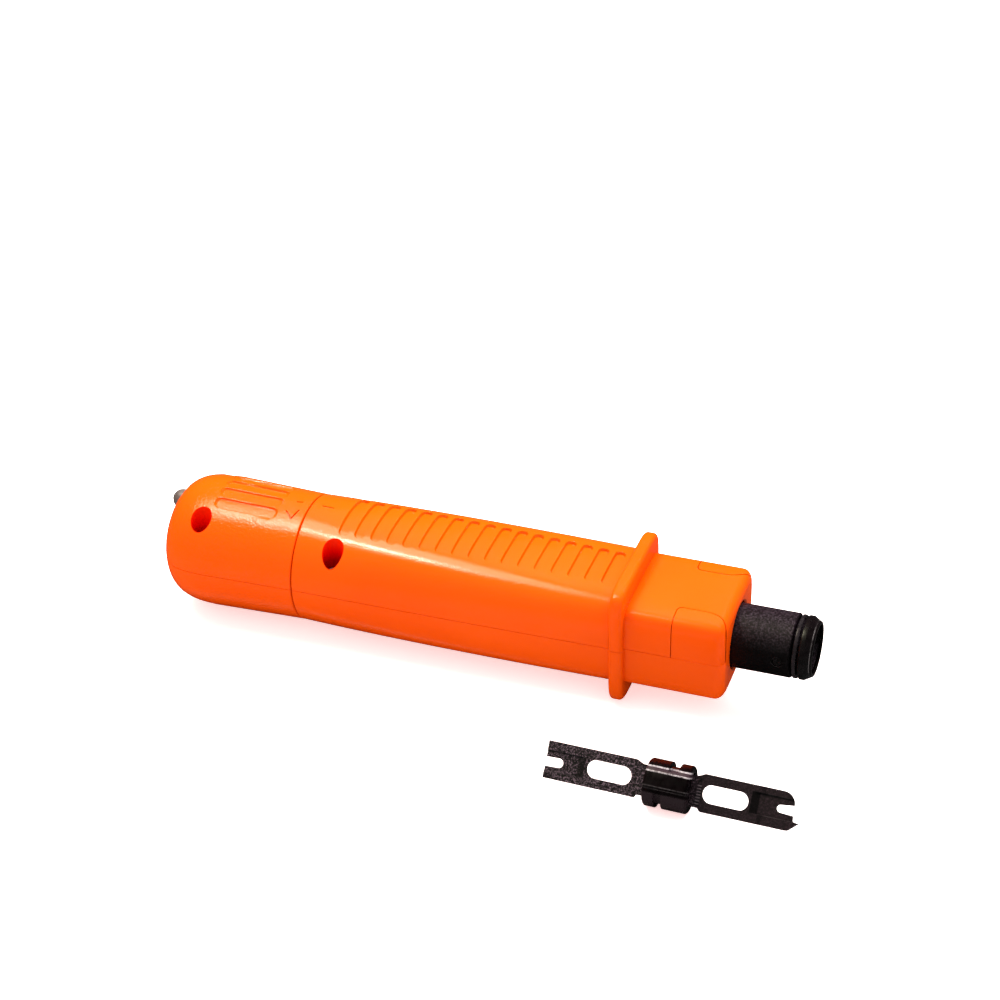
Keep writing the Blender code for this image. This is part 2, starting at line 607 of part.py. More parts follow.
# ------------------------------------------------------ hammer and latch ----
LATCH_X = 102.2                            # mid-plane of the latch plate
LATCH_LIFT = 1.5                           # the latch hole lies this far below the axis
LATCH_HALF_T, LATCH_SLOT_HALF = 0.8, 1.15  # half thickness of plate, half length of slot
PASSAGE_R = 2.85                           # way for the striker pin in hammer and latch
HAMMER_BORE_R, HAMMER_BORE_END_X = TUBE_R + 0.4, 98.6
MAIN_INSET, RECOIL_INSET = 0.9, 0.85       # from a seat face to the wire's centre
LATCH = ((-4.1, -7.4), (-2.4, -9.5), (2.4, -9.5), (4.1, -7.4),
         (4.1, 4.6), (3.6, 5.1), (-3.6, 5.1), (-4.1, 4.6))  # (y, z)

hammer_axis = axis_empty("hammer_travel_axis", (HAMMER_X0, 0.0, 0.0))
hammer = part("hammer", turned(
    [(HAMMER_X0, HAMMER_BORE_R), (HAMMER_X0, HAMMER_R - 0.4), (HAMMER_X0 + 0.4, HAMMER_R),
     (HAMMER_X1 - 0.5, HAMMER_R), (HAMMER_X1, HAMMER_R - 0.5), (HAMMER_X1, PASSAGE_R),
     (HAMMER_BORE_END_X, PASSAGE_R), (HAMMER_BORE_END_X, HAMMER_BORE_R)], 24),
    HAMMER_STEEL, hammer_axis)
cut(hammer,
    cutter("latch_slot", box(LATCH_X - LATCH_SLOT_HALF, LATCH_X + LATCH_SLOT_HALF,
                             -4.5, 4.5, -12.0, 6.9)),
    cutter("latch_spring_pocket", cylinder(4.0, 7.45, 1.12, 12, (LATCH_X, 0.0), "Z")))

part("main_spring",
     coil(start=SEAT_X1 + MAIN_INSET, end=HAMMER_X0 - MAIN_INSET, radius=7.25, wire_r=0.5,
          turns=7.0, per_turn=14, sides=5), SPRING_STEEL, hammer_axis)
part("recoil_spring",
     coil(start=HAMMER_X1 + RECOIL_INSET, end=FLANGE_X0 - RECOIL_INSET, radius=5.2,
          wire_r=0.4, turns=2.05, per_turn=14, sides=5), SPRING_STEEL, nozzle_axis)

latch_axis = axis_empty("latch_lift_axis", (LATCH_X, 0.0, 0.0))
latch = part("latch_plate", prism(LATCH, LATCH_X - LATCH_HALF_T, LATCH_X + LATCH_HALF_T, "X"),
             STEEL, latch_axis)
cut(latch, cutter("latch_hole", cylinder(99.0, 106.0, PASSAGE_R, 20, (0.0, -LATCH_LIFT))))
part("latch_spring",
     coil(start=5.55, end=7.15, radius=0.62, wire_r=0.14, turns=3.0, per_turn=9, sides=4,
          axis="Z", centre=(LATCH_X, 0.0)), SPRING_STEEL, hammer_axis)

# ----------------------------------------------------------- loose blade ----
# Blade frame: X along the blade to its cutting tip, Y across the plate, Z through it,
# origin at the middle of the plate.
BLADE_LEN, BLADE_W, BLADE_T = 53.5, 7.9, 1.2
NECK_HALF_W = BLADE_W / 2 - 0.7            # plate inside the collar
BLADE_COLLAR_R = 5.05
FLOOR_Z = -CAP_R                           # plane that tool and blade lie on
BLADE_PLACE = (130.0, -41.55, FLOOR_Z + BLADE_COLLAR_R)
BLADE_TURN, BLADE_LEAN = -1.0, 52.0        # degrees about Z, then about its length

WINDOWS = ((-17.8, -7.9, 1.95), (7.3, 17.2, 1.93))  # x from, x to, half width
WINDOW_END_STEPS = 5
# Hollows in the +Z face of the two tips: outline (x, z), y from, y to
RELIEFS = (
    (((-30, 0.38), (-20.5, 0.38), (-19.2, 0.64), (-19.2, 3.0), (-30, 3.0)), -6, 6),
    (((30, 0.38), (20.4, 0.38), (19.2, 0.64), (19.2, 3.0), (30, 3.0)), -6, 6))
CHANNELS = (
    (((-30, 0.14), (-19.7, 0.14), (-18.0, 0.64), (-18.0, 3.0), (-30, 3.0)), -2.35, 2.05),
    (((30, 0.14), (18.2, 0.14), (17.7, 0.64), (17.7, 3.0), (30, 3.0)), -1.9, 2.65))

COLLAR_STEP = 15                           # degrees between points of the round parts
COLLAR_FACETS = (46.1, 60.3, 96.2, 112.7)  # corner angles: facet, flat, facet
COLLAR_ENDS = ((-4.4, 0.93), (-4.05, 1.0), (4.65, 1.0), (5.0, 0.93))  # x, scale of section

BLADE_POSE = (Matrix.Translation(BLADE_PLACE)
              @ Matrix.Rotation(math.radians(BLADE_TURN), 4, "Z")
              @ Matrix.Rotation(math.radians(BLADE_LEAN), 4, "X"))


def posed(shape):
    """Lay a shape made in the blade's frame where the blade lies."""
    bmesh.ops.transform(shape, matrix=BLADE_POSE, verts=shape.verts)
    return shape


def blade_outline():
    """Plate outline (x, y)."""
    end, half_w, neck = BLADE_LEN / 2, BLADE_W / 2, NECK_HALF_W
    return [
        # rear (plain) tip: two prongs with a round-bottomed wire notch
        (-end, -half_w), (-end, -1.45), (-end + 2.9, -1.35), (-end + 3.55, -1.0),
        (-end + 3.85, -0.36), (-end + 3.55, 0.3), (-end + 2.9, 0.65), (-end, 0.55),
        (-end, half_w),
        # +Y edge with the neck
        (-7.6, half_w), (-5.9, neck), (-4.0, neck), (4.0, neck), (5.4, neck), (7.2, half_w),
        # front (cutting) tip: rounded prong, notch, pointed cutter
        (end - 2.8, half_w), (end - 1.5, half_w - 0.35), (end - 0.7, half_w - 0.95),
        (end - 0.3, half_w - 1.7), (end - 0.2, 1.36), (end - 2.8, 1.0), (end - 3.45, 0.7),
        (end - 3.75, 0.2), (end - 3.5, -0.25), (end - 2.9, -0.5), (end - 0.15, -0.74),
        (end + 0.05, -1.9), (end + 1.3, -2.07), (end - 0.55, -3.7), (end - 1.6, -half_w),
        # -Y edge with the neck
        (7.8, -half_w), (6.9, -neck), (4.0, -neck), (-4.0, -neck), (-5.9, -neck),
        (-6.8, -half_w)]


def window_outline(x0, x1, half_w):
    """Slot with round ends, (x, y)."""
    points = []
    for centre_x, start in ((x0 + half_w, math.pi / 2), (x1 - half_w, -math.pi / 2)):
        for k in range(WINDOW_END_STEPS + 1):
            angle = start + math.pi * k / WINDOW_END_STEPS
            points.append((centre_x + half_w * math.cos(angle), half_w * math.sin(angle)))
    return points


def collar_body():
    """Round collar; its +Z and -Z sides have a flat with a narrow facet beside each edge."""
    angles = [angle + half_turn for half_turn in (0.0, 180.0) for angle in COLLAR_FACETS]
    angles += [angle for angle in range(0, 360, COLLAR_STEP)
               if not COLLAR_FACETS[0] - 3.0 < angle % 180 < COLLAR_FACETS[-1] + 3.0]
    section = [(BLADE_COLLAR_R * math.cos(math.radians(angle)),
                BLADE_COLLAR_R * math.sin(math.radians(angle))) for angle in sorted(angles)]
    return outward(skin([[(x, y * scale, z * scale) for y, z in section]
                         for x, scale in COLLAR_ENDS]))


def sector(x0, x1, inner_r, outer_r, angle0, angle1, steps):
    """Part of a tube round the blade's axis, degrees measured from +Y toward +Z."""
    rings = []
    for k in range(steps + 1):
        angle = math.radians(angle0 + (angle1 - angle0) * k / steps)
        cos, sin = math.cos(angle), math.sin(angle)
        rings.append([(x, radius * cos, radius * sin) for x, radius in (
            (x0, inner_r), (x0, outer_r), (x1, outer_r), (x1, inner_r))])
    return outward(skin(rings))


def tip_cutter(name, hollows):
    return cutter(name, *[posed(prism(outline, y0, y1, "Y")) for outline, y0, y1 in hollows])


blade_axis = axis_empty("blade_lift_axis", BLADE_PLACE)
plate = part("blade_plate", posed(prism(blade_outline(), -BLADE_T / 2, BLADE_T / 2)),
             BLADE_STEEL, blade_axis)
cut(plate,
    cutter("blade_windows", *[posed(prism(window_outline(*window), -3, 3))
                              for window in WINDOWS]),
    tip_cutter("tip_relief", RELIEFS),
    tip_cutter("tip_channels", CHANNELS))

# The collar has two part-round slots outside and a slot for the plate through it
slot_half_w, slot_half_t = NECK_HALF_W + 0.35, BLADE_T / 2 + 0.3
collar = part("blade_collar", posed(collar_body()), BLADE_STEEL, blade_axis)
cut(collar,
    cutter("lock_slots", posed(sector(-1.85, -0.3, 4.15, 7.0, 113.0, 247.0, 8)),
           posed(sector(0.3, 2.35, 4.1, 7.0, -52.0, 52.0, 6))),
    cutter("collar_slot", posed(box(-8, 8, -slot_half_w, slot_half_w,
                                    -slot_half_t, slot_half_t))))
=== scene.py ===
# Impact punch-down tool with its loose blade: moulded shells, nozzle, mechanism and stage.
# The tool lies along X: the domed end cap starts near x = 0 and the nozzle points to +X.
# Y runs across it, +Y being left, and the two shell halves meet near z = 0.
# The blade lies beside the nozzle on the -Y side, leaned up on its round collar.
# Sizes are millimetres unless noted; to_object turns them into metres.
import json
import math

import bmesh
import bpy
from mathutils import Matrix, Vector


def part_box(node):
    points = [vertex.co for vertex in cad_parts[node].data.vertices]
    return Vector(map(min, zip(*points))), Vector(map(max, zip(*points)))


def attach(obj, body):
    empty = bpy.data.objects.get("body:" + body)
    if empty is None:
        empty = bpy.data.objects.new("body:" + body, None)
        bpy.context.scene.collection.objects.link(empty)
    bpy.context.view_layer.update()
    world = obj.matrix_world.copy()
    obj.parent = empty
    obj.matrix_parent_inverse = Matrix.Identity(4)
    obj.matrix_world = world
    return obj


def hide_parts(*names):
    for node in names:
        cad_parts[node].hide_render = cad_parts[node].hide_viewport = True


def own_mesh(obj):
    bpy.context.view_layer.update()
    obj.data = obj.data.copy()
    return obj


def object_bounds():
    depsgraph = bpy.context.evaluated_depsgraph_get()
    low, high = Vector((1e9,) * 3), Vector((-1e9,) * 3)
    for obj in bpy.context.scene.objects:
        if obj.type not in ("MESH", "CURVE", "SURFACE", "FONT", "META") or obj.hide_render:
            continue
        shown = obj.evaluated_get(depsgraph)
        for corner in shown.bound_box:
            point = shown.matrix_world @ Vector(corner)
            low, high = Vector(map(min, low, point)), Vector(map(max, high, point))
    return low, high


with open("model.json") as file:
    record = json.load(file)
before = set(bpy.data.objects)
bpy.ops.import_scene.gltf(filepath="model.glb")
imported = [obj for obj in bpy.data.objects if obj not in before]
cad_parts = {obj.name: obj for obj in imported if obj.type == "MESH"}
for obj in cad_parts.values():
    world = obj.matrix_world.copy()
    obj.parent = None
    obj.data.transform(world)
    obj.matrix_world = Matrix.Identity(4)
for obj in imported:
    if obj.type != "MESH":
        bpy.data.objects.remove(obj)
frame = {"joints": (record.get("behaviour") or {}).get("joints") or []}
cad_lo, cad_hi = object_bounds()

MM = 0.001


def box_mm(node):
    """Low and high corners of a CAD piece in millimetres."""
    lo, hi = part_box(node)
    return lo / MM, hi / MM


# ------------------------------------------------------------ design sizes ----
body_lo, body_hi = box_mm("upper_shell")
CAP_END_X = box_mm("cap_upper_shell")[1].x
BODY_START_X = body_lo.x
BODY_END_X = box_mm("lower_shell")[1].x

PART_Z = 0.40                                  # parting plane of the shells
UPPER_PART_Z, LOWER_PART_Z = PART_Z + 0.03, PART_Z - 0.03
PART_CHAMFER = 0.06
WALL = 1.8

# The handle narrows and squares up from its rear end to the guard.
REAR_HALF_W, FRONT_HALF_W = 14.6, 13.9
REAR_HALF_H, FRONT_HALF_H = 14.56, 11.96
REAR_POWER, FRONT_POWER = 2.0, 3.6             # superellipse powers, 2 is an ellipse
GUARD_X0, GUARD_X1 = 108.4, 111.6
GUARD_HALF_W, GUARD_HALF_H, GUARD_POWER = body_hi.y, body_hi.z, 8.0
GUARD_EDGE, GUARD_INSET = 0.95, 0.02
NOSE_HALF_W, NOSE_HALF_H, NOSE_POWER = 12.95, 10.1, 8.0
NOSE_EDGE = 2.2
END_EDGE = 0.16                                # softened rear edge of the handle
EAR_X0, EAR_Y = 122.1, 7.3                     # locking ears either side of the nozzle
EAR_GAP = 0.09

GROOVES, GROOVE_X0, GROOVE_PITCH = 17, 44.2, 3.82
GROOVE_W, GROOVE_DEPTH = 2.3, 0.6

CAP_R, CAP_SEAM_R = 15.2, 14.6
DOME_X0, DOME_DEPTH, DOME_POWER = -0.31, 15.5, 3.7
DOME_END_X = 12.0
CAP_EDGE = 0.18                                # softened front edge of the cap
CAP_SLOT_Y = (-5.25, -1.75, 1.75, 5.25)
CAP_SLOT_X = (12.2, 27.4)
CAP_SLOT_W, CAP_SLOT_DEPTH = 2.7, 0.42

CAP_SCREW, BODY_SCREW = (10.4, 9.4), (43.2, 10.7)    # x, and y either side
POST_HALF = 3.7                                # half length of the solid round a screw
STEP = 0.02                                    # length of a sudden step in a cavity
WELL_R, HEAD_R, SHANK_R, HEAD_Z, HEAD_H = 2.4, 2.05, 1.1, 3.6, 1.6

PIVOT_Z = next(j for j in frame["joints"] if j["name"] == "cap_swing")["pos_m"][2] / MM
PIVOT = (0.0, PIVOT_Z)
ROD_R = 1.2
TUBE_R = 6.2
GUIDE_R, MOUTH_R = 7.5, 7.6
LATCH_X = 102.2
BAYONET_X = 144.0

BLADE_LEN, BLADE_W, BLADE_T = 53.5, 7.9, 1.2
BLADE_COLLAR_R = 5.05
BLADE_AT = (130.0, -41.55, cad_lo.z / MM + BLADE_COLLAR_R)
BLADE_TURN, BLADE_LEAN = -1.0, 52.0            # degrees about Z, then about its length
COMB_TOP, COMB_PITCH = 1.35, 0.62              # stamped ridges beside the blade's collar
POSE = (Matrix.Translation(BLADE_AT)
        @ Matrix.Rotation(math.radians(BLADE_TURN), 4, "Z")
        @ Matrix.Rotation(math.radians(BLADE_LEAN), 4, "X"))
BLADE_ALONG, BLADE_ACROSS, BLADE_FACE = (
    tuple(POSE.to_3x3() @ Vector(axis)) for axis in ((1, 0, 0), (0, 1, 0), (0, 0, 1)))


# --------------------------------------------------------------- mesh tools ----
def outward(bm):
    """Make all faces look out of the solid."""
    bmesh.ops.recalc_face_normals(bm, faces=bm.faces)
    if bm.calc_volume(signed=True) < 0:
        bmesh.ops.reverse_faces(bm, faces=bm.faces)
    return bm


def shade(mesh, smooth_deg):
    if smooth_deg:
        mesh.shade_smooth()
        mesh.set_sharp_from_angle(angle=math.radians(smooth_deg))


def to_object(name, bm, smooth_deg=35.0):
    """Turn a solid in millimetres into an object in metres."""
    bmesh.ops.scale(bm, vec=(MM, MM, MM), verts=bm.verts)
    outward(bm)
    mesh = bpy.data.meshes.new(name)
    bm.to_mesh(mesh)
    bm.free()
    ob = bpy.data.objects.new(name, mesh)
    bpy.context.scene.collection.objects.link(ob)
    shade(mesh, smooth_deg)
    return ob


def merge(*parts):
    out = bmesh.new()
    for part in parts:
        mesh = bpy.data.meshes.new("tmp")
        part.to_mesh(mesh)
        part.free()
        out.from_mesh(mesh)
        bpy.data.meshes.remove(mesh)
    return out


def evaluated(ob, smooth_deg):
    """Apply every modifier of an object."""
    depsgraph = bpy.context.evaluated_depsgraph_get()
    mesh = bpy.data.meshes.new_from_object(ob.evaluated_get(depsgraph))
    ob.modifiers.clear()
    old = ob.data
    ob.data = mesh
    bpy.data.meshes.remove(old)
    mesh.name = ob.name
    shade(mesh, smooth_deg)


def combine(ob, tools, operation, smooth_deg=35.0):
    """Exact boolean of an object with tool objects, which are used up."""
    for tool in tools:
        modifier = ob.modifiers.new("boolean", "BOOLEAN")
        modifier.operation = operation
        modifier.object = tool
        modifier.solver = "EXACT"
    evaluated(ob, smooth_deg)
    for tool in tools:
        mesh = tool.data
        bpy.data.objects.remove(tool)
        bpy.data.meshes.remove(mesh)


def carve(ob, cutters, operation="DIFFERENCE", smooth_deg=35.0):
    """Boolean of an object with solids given in millimetres."""
    tools = [to_object("cutter", outward(cutter), None) for cutter in cutters]
    combine(ob, tools, operation, smooth_deg)


def soften(ob, width, angle):
    """Round the edges sharper than an angle."""
    bevel = ob.modifiers.new("soft_edges", "BEVEL")
    bevel.width = width * MM
    bevel.segments = 2
    bevel.limit_method = "ANGLE"
    bevel.angle_limit = math.radians(angle)
    bevel.use_clamp_overlap = True
    evaluated(ob, 45.0)


def ring_solid(rings):
    """Skin a list of equally long closed rings of points and close both ends."""
    bm = bmesh.new()
    verts = [[bm.verts.new(p) for p in ring] for ring in rings]
    count = len(verts[0])
    for ring, after in zip(verts[:-1], verts[1:]):
        for i in range(count):
            j = (i + 1) % count
            bm.faces.new((ring[i], ring[j], after[j], after[i]))
    bm.faces.new(list(reversed(verts[0])))
    bm.faces.new(verts[-1])
    return bm


def bend(value, power):
    """Superellipse coordinate from a cosine or sine."""
    return math.copysign(abs(value) ** (2.0 / power), value)


def loft(stations, count):
    """Solid along X through superellipses (x, half width, half height, power)."""
    rings = []
    for x, half_w, half_h, power in stations:
        turns = [2.0 * math.pi * (i + 0.5) / count for i in range(count)]
        rings.append([(x, half_w * bend(math.cos(t), power), half_h * bend(math.sin(t), power))
                      for t in turns])
    return ring_solid(rings)


def aim(bm, axis, centre):
    """Turn a solid built round the X axis onto an axis and shift it to its centre."""
    u, v = centre
    if axis != "X":
        angle, about = {"Y": (math.pi / 2, "Z"), "Z": (-math.pi / 2, "Y")}[axis]
        bmesh.ops.rotate(bm, verts=bm.verts, cent=(0, 0, 0),
                         matrix=Matrix.Rotation(angle, 3, about))
    shift = {"X": (0.0, u, v), "Y": (u, 0.0, v), "Z": (u, v, 0.0)}[axis]
    bmesh.ops.translate(bm, verts=bm.verts, vec=shift)
    return bm


def turned(profile, count, centre=(0.0, 0.0), axis="X"):
    """Solid of revolution from a profile (along, radius)."""
    bm = bmesh.new()
    rings = []
    for along, r in profile:
        if r == 0.0:
            rings.append([bm.verts.new((along, 0.0, 0.0))])
        else:
            rings.append([bm.verts.new((along, r * math.cos(2 * math.pi * i / count),
                                        r * math.sin(2 * math.pi * i / count)))
                          for i in range(count)])
    pairs = list(zip(rings[:-1], rings[1:]))
    if profile[0][1] != 0.0 or profile[-1][1] != 0.0:
        pairs.append((rings[-1], rings[0]))
    for ring, after in pairs:
        for i in range(count):
            j = (i + 1) % count
            if len(ring) == 1:
                bm.faces.new((ring[0], after[j], after[i]))
            elif len(after) == 1:
                bm.faces.new((ring[i], ring[j], after[0]))
            else:
                bm.faces.new((ring[i], ring[j], after[j], after[i]))
    return aim(bm, axis, centre)


def rod(start, end, radius, count, centre, axis="Z"):
    """Plain cylinder."""
    return turned([(start, 0.0), (start, radius), (end, radius), (end, 0.0)], count, centre, axis)


def filleted(profile, radius, steps=3):
    """Round the corners of a (along, radius) profile; points on the axis stay."""
    out = []
    for i, point in enumerate(profile):
        corner = Vector(point)
        before = Vector(profile[i - 1]) - corner
        after = Vector(profile[(i + 1) % len(profile)]) - corner
        if (point[1] == 0.0 or before.length < 1e-6 or after.length < 1e-6
                or abs(before.normalized().dot(after.normalized())) > 0.985):
            out.append(point)
            continue
        r = min(radius, before.length * 0.45, after.length * 0.45)
        start = corner + before.normalized() * r
        end = corner + after.normalized() * r
        for k in range(steps + 1):
            t = k / steps
            q = start.lerp(corner, t).lerp(corner.lerp(end, t), t)
            out.append((q.x, q.y))
    return out


def prism(outline, lo, hi, axis="Z"):
    """Outline pushed out between two heights on an axis."""
    bm = bmesh.new()
    place = {"Z": lambda u, v, w: (u, v, w), "Y": lambda u, v, w: (u, w, v),
             "X": lambda u, v, w: (w, u, v)}[axis]
    low = [bm.verts.new(place(u, v, lo)) for u, v in outline]
    high = [bm.verts.new(place(u, v, hi)) for u, v in outline]
    for i in range(len(outline)):
        j = (i + 1) % len(outline)
        bm.faces.new((low[i], low[j], high[j], high[i]))
    bm.faces.new(list(reversed(low)))
    bm.faces.new(high)
    return bm


def box(x0, x1, y0, y1, z0, z1):
    return prism([(x0, y0), (x1, y0), (x1, y1), (x0, y1)], z0, z1)


def coil(start, end, radius, wire_r, turns, per_turn, sides, axis="X", centre=(0.0, 0.0)):
    """Compression spring with one closed turn at each end."""
    steps = int(turns * per_turn)
    closed_pitch = 2.3 * wire_r
    pitch = (end - start - 2 * closed_pitch) / (turns - 2)
    along = Vector((1.0, 0.0, 0.0))
    rings = []
    for k in range(steps + 1):
        t = turns * k / steps
        if t < 1:
            advance = start + closed_pitch * t
        elif t > turns - 1:
            advance = end - closed_pitch * (turns - t)
        else:
            advance = start + closed_pitch + pitch * (t - 1)
        turn = 2 * math.pi * t
        radial = Vector((0.0, math.cos(turn), math.sin(turn)))
        centre_line = along * advance + radial * radius
        rings.append([tuple(centre_line + radial * (wire_r * math.cos(2 * math.pi * q / sides))
                            + along * (wire_r * math.sin(2 * math.pi * q / sides)))
                      for q in range(sides)])
    return aim(ring_solid(rings), axis, centre)


# ---------------------------------------------------------------- materials ----
def put(tree, value, socket):
    """Link a socket, or set a plain number, colour or vector."""
    if isinstance(value, bpy.types.NodeSocket):
        tree.links.new(value, socket)
    elif socket.type == "RGBA":
        socket.default_value = (*value, 1.0)
    else:
        socket.default_value = value


def add_node(tree, kind, inputs=None, **settings):
    new = tree.nodes.new(kind)
    for key, value in settings.items():
        setattr(new, key, value)
    for key, value in (inputs or {}).items():
        put(tree, value, new.inputs[key])
    return new


class Mat:
    """Builds a Principled material in object-space millimetres."""

    def __init__(self, name):
        self.material = bpy.data.materials.new(name)
        self.material.use_nodes = True
        self.tree = self.material.node_tree
        self.tree.nodes.clear()
        output = self.node("ShaderNodeOutputMaterial")
        self.shader = self.node("ShaderNodeBsdfPrincipled")
        put(self.tree, self.shader.outputs[0], output.inputs[0])
        metres = self.node("ShaderNodeTexCoord").outputs["Object"]
        self.position = self.scaled((1000.0, 1000.0, 1000.0), metres)

    def node(self, kind, inputs=None, **settings):
        return add_node(self.tree, kind, inputs, **settings)

    def scaled(self, scale, vector=None):
        """Stretched coordinates, for streaks."""
        inputs = {"Scale": scale, "Vector": vector or self.position}
        return self.node("ShaderNodeMapping", inputs).outputs["Vector"]

    def xyz(self):
        return self.node("ShaderNodeSeparateXYZ", {0: self.position}).outputs

    def noise(self, scale, detail=3.0, rough=0.5, vector=None):
        inputs = {"Scale": scale, "Detail": detail, "Roughness": rough,
                  "Vector": vector or self.position}
        return self.node("ShaderNodeTexNoise", inputs).outputs["Fac"]

    def cells(self, scale):
        inputs = {"Scale": scale, "Vector": self.position}
        return self.node("ShaderNodeTexVoronoi", inputs).outputs["Distance"]

    def ramp(self, fac, *stops):
        """Colour ramp from stops (place, grey or colour)."""
        ramp = self.node("ShaderNodeValToRGB", {"Fac": fac})
        elements = ramp.color_ramp.elements
        elements.remove(elements[-1])
        for i, (place, tone) in enumerate(stops):
            stop = elements.new(place) if i else elements[0]
            stop.position = place
            stop.color = (*(tone if isinstance(tone, tuple) else (tone,) * 3), 1.0)
        return ramp.outputs["Color"]

    def mix(self, mask, base, over, strength=None, blend="MIX"):
        """Lay a tone over a base where the mask is high."""
        if strength is not None:
            mask = self.times(mask, strength)
        return self.node("ShaderNodeMix", {0: mask, 6: base, 7: over},
                         data_type="RGBA", blend_type=blend).outputs[2]

    def math(self, operation, a, b=0.0):
        return self.node("ShaderNodeMath", {0: a, 1: b}, operation=operation).outputs[0]

    def times(self, value, *factors):
        for factor in factors:
            value = self.math("MULTIPLY", value, factor)
        return value

    def dot(self, a, b):
        return self.node("ShaderNodeVectorMath", {0: a, 1: b},
                         operation="DOT_PRODUCT").outputs["Value"]

    def bump(self, height, strength, depth, normal=None):
        inputs = {"Strength": strength, "Distance": depth * MM, "Height": height}
        if normal:
            inputs["Normal"] = normal
        return self.node("ShaderNodeBump", inputs).outputs["Normal"]

    def facing(self):
        return self.node("ShaderNodeNewGeometry").outputs["Normal"]

    def edge(self, radius=0.16):
        """High along sharp edges, zero on flats and gentle curves."""
        rounded = self.node("ShaderNodeBevel", {"Radius": radius * MM}, samples=6)
        return self.ramp(self.dot(rounded.outputs["Normal"], self.facing()),
                         (0.86, 1.0), (0.985, 0.0))

    def openness(self, reach):
        """1 in the open, falling to 0 deep in crevices."""
        return self.node("ShaderNodeAmbientOcclusion", {"Distance": reach * MM},
                         samples=6, only_local=True).outputs["AO"]

    def toward(self, direction):
        """Cosine between the surface and a fixed direction."""
        return self.dot(self.facing(), direction)

    def from_blade(self, direction):
        """Millimetres from the blade's middle along a direction."""
        offset = self.node("ShaderNodeVectorMath", {0: self.position, 1: BLADE_AT},
                           operation="SUBTRACT")
        return self.dot(offset.outputs["Vector"], direction)

    def span(self, value, start, end, to_start=0.0, to_end=1.0):
        """Clamped linear change between two values."""
        inputs = {"From Min": start, "From Max": end, "To Min": to_start, "To Max": to_end,
                  "Value": value}
        return self.node("ShaderNodeMapRange", inputs, clamp=True).outputs["Result"]

    def band(self, value, lo, hi, soft):
        """1 between lo and hi with soft ends."""
        rise = self.span(value, lo - soft, lo)
        fall = self.span(value, hi, hi + soft)
        return self.times(rise, self.math("SUBTRACT", 1.0, fall))

    def surface(self, color, rough, normal, **others):
        """Fill in the shader; others are socket names with underscores for spaces."""
        sockets = {"Base Color": color, "Roughness": rough, "Normal": normal}
        sockets.update({key.replace("_", " "): value for key, value in others.items()})
        for key, value in sockets.items():
            put(self.tree, value, self.shader.inputs[key])
        return self.material


def orange_plastic():
    m = Mat("orange_moulded_plastic")
    tone = m.ramp(m.noise(scale=0.035, detail=2.0),
                  (0.3, (0.91, 0.077, 0.0004)), (0.7, (0.95, 0.087, 0.0006)))
    specks = m.ramp(m.noise(scale=0.9, detail=4.0, rough=0.7), (0.66, 0.0), (0.78, 1.0))
    tone = m.mix(specks, tone, (0.80, 0.060, 0.0004), strength=0.10)
    # painted shade: hollows and crevices turn deep red, found by ambient occlusion
    in_open = m.ramp(m.openness(reach=6.0), (0.10, 0.0), (0.50, 1.0))
    tone = m.mix(in_open, (0.66, 0.0025, 0.0001), tone)
    # painted shade on the walls of the screw wells, found by their distance from the screw axes:
    # deep red, darker toward the bottom
    x, y, z = m.xyz()
    aside = m.math("ABSOLUTE", y)
    wells = 0.0
    for screw_x, screw_y in (BODY_SCREW, CAP_SCREW):
        dx = m.math("SUBTRACT", x, screw_x)
        dy = m.math("SUBTRACT", aside, screw_y)
        away = m.math("SQRT", m.math("ADD", m.times(dx, dx), m.times(dy, dy)))
        inside = m.span(away, start=WELL_R + 0.16, end=WELL_R + 0.02)
        wells = m.math("MAXIMUM", wells, inside)
    wells = m.times(wells, m.span(z, start=HEAD_Z - 0.9, end=HEAD_Z - 0.5))
    well_shade_tone = m.ramp(m.span(z, start=6.4, end=10.8),
                       (0.0, (0.46, 0.0002, 0.0001)), (0.50, (0.84, 0.0006, 0.0001)),
                       (1.0, (0.92, 0.0060, 0.0010)))
    tone = m.mix(wells, tone, well_shade_tone)
    # faint rubbing marks in the satin surface
    streaks = m.noise(scale=0.7, detail=4.0, rough=0.65, vector=m.scaled((0.25, 3.0, 3.0)))
    # moulded grain, stronger on the end cap
    grain = m.times(m.noise(scale=1.7, detail=2.0, rough=0.55),
                    m.span(x, start=33.0, end=36.0, to_start=1.0, to_end=0.30))
    normal = m.bump(grain, strength=0.90, depth=0.09)
    normal = m.bump(m.noise(scale=0.11, detail=2.0), strength=0.12, depth=0.35, normal=normal)
    return m.surface(tone, m.ramp(streaks, (0.25, 0.11), (0.75, 0.17)), normal,
                     Specular_IOR_Level=m.span(wells, 0.0, 1.0, to_start=0.42, to_end=0.0))


def natural_plastic():
    m = Mat("natural_moulded_plastic")
    grain = m.noise(scale=1.2)
    tone = m.ramp(m.noise(scale=0.08, detail=2.0),
                  (0.3, (0.60, 0.57, 0.49)), (0.7, (0.72, 0.69, 0.61)))
    return m.surface(tone, m.ramp(grain, (0.3, 0.42), (0.7, 0.55)),
                     m.bump(grain, strength=0.12, depth=0.04),
                     Subsurface_Weight=0.1, Subsurface_Scale=0.001)


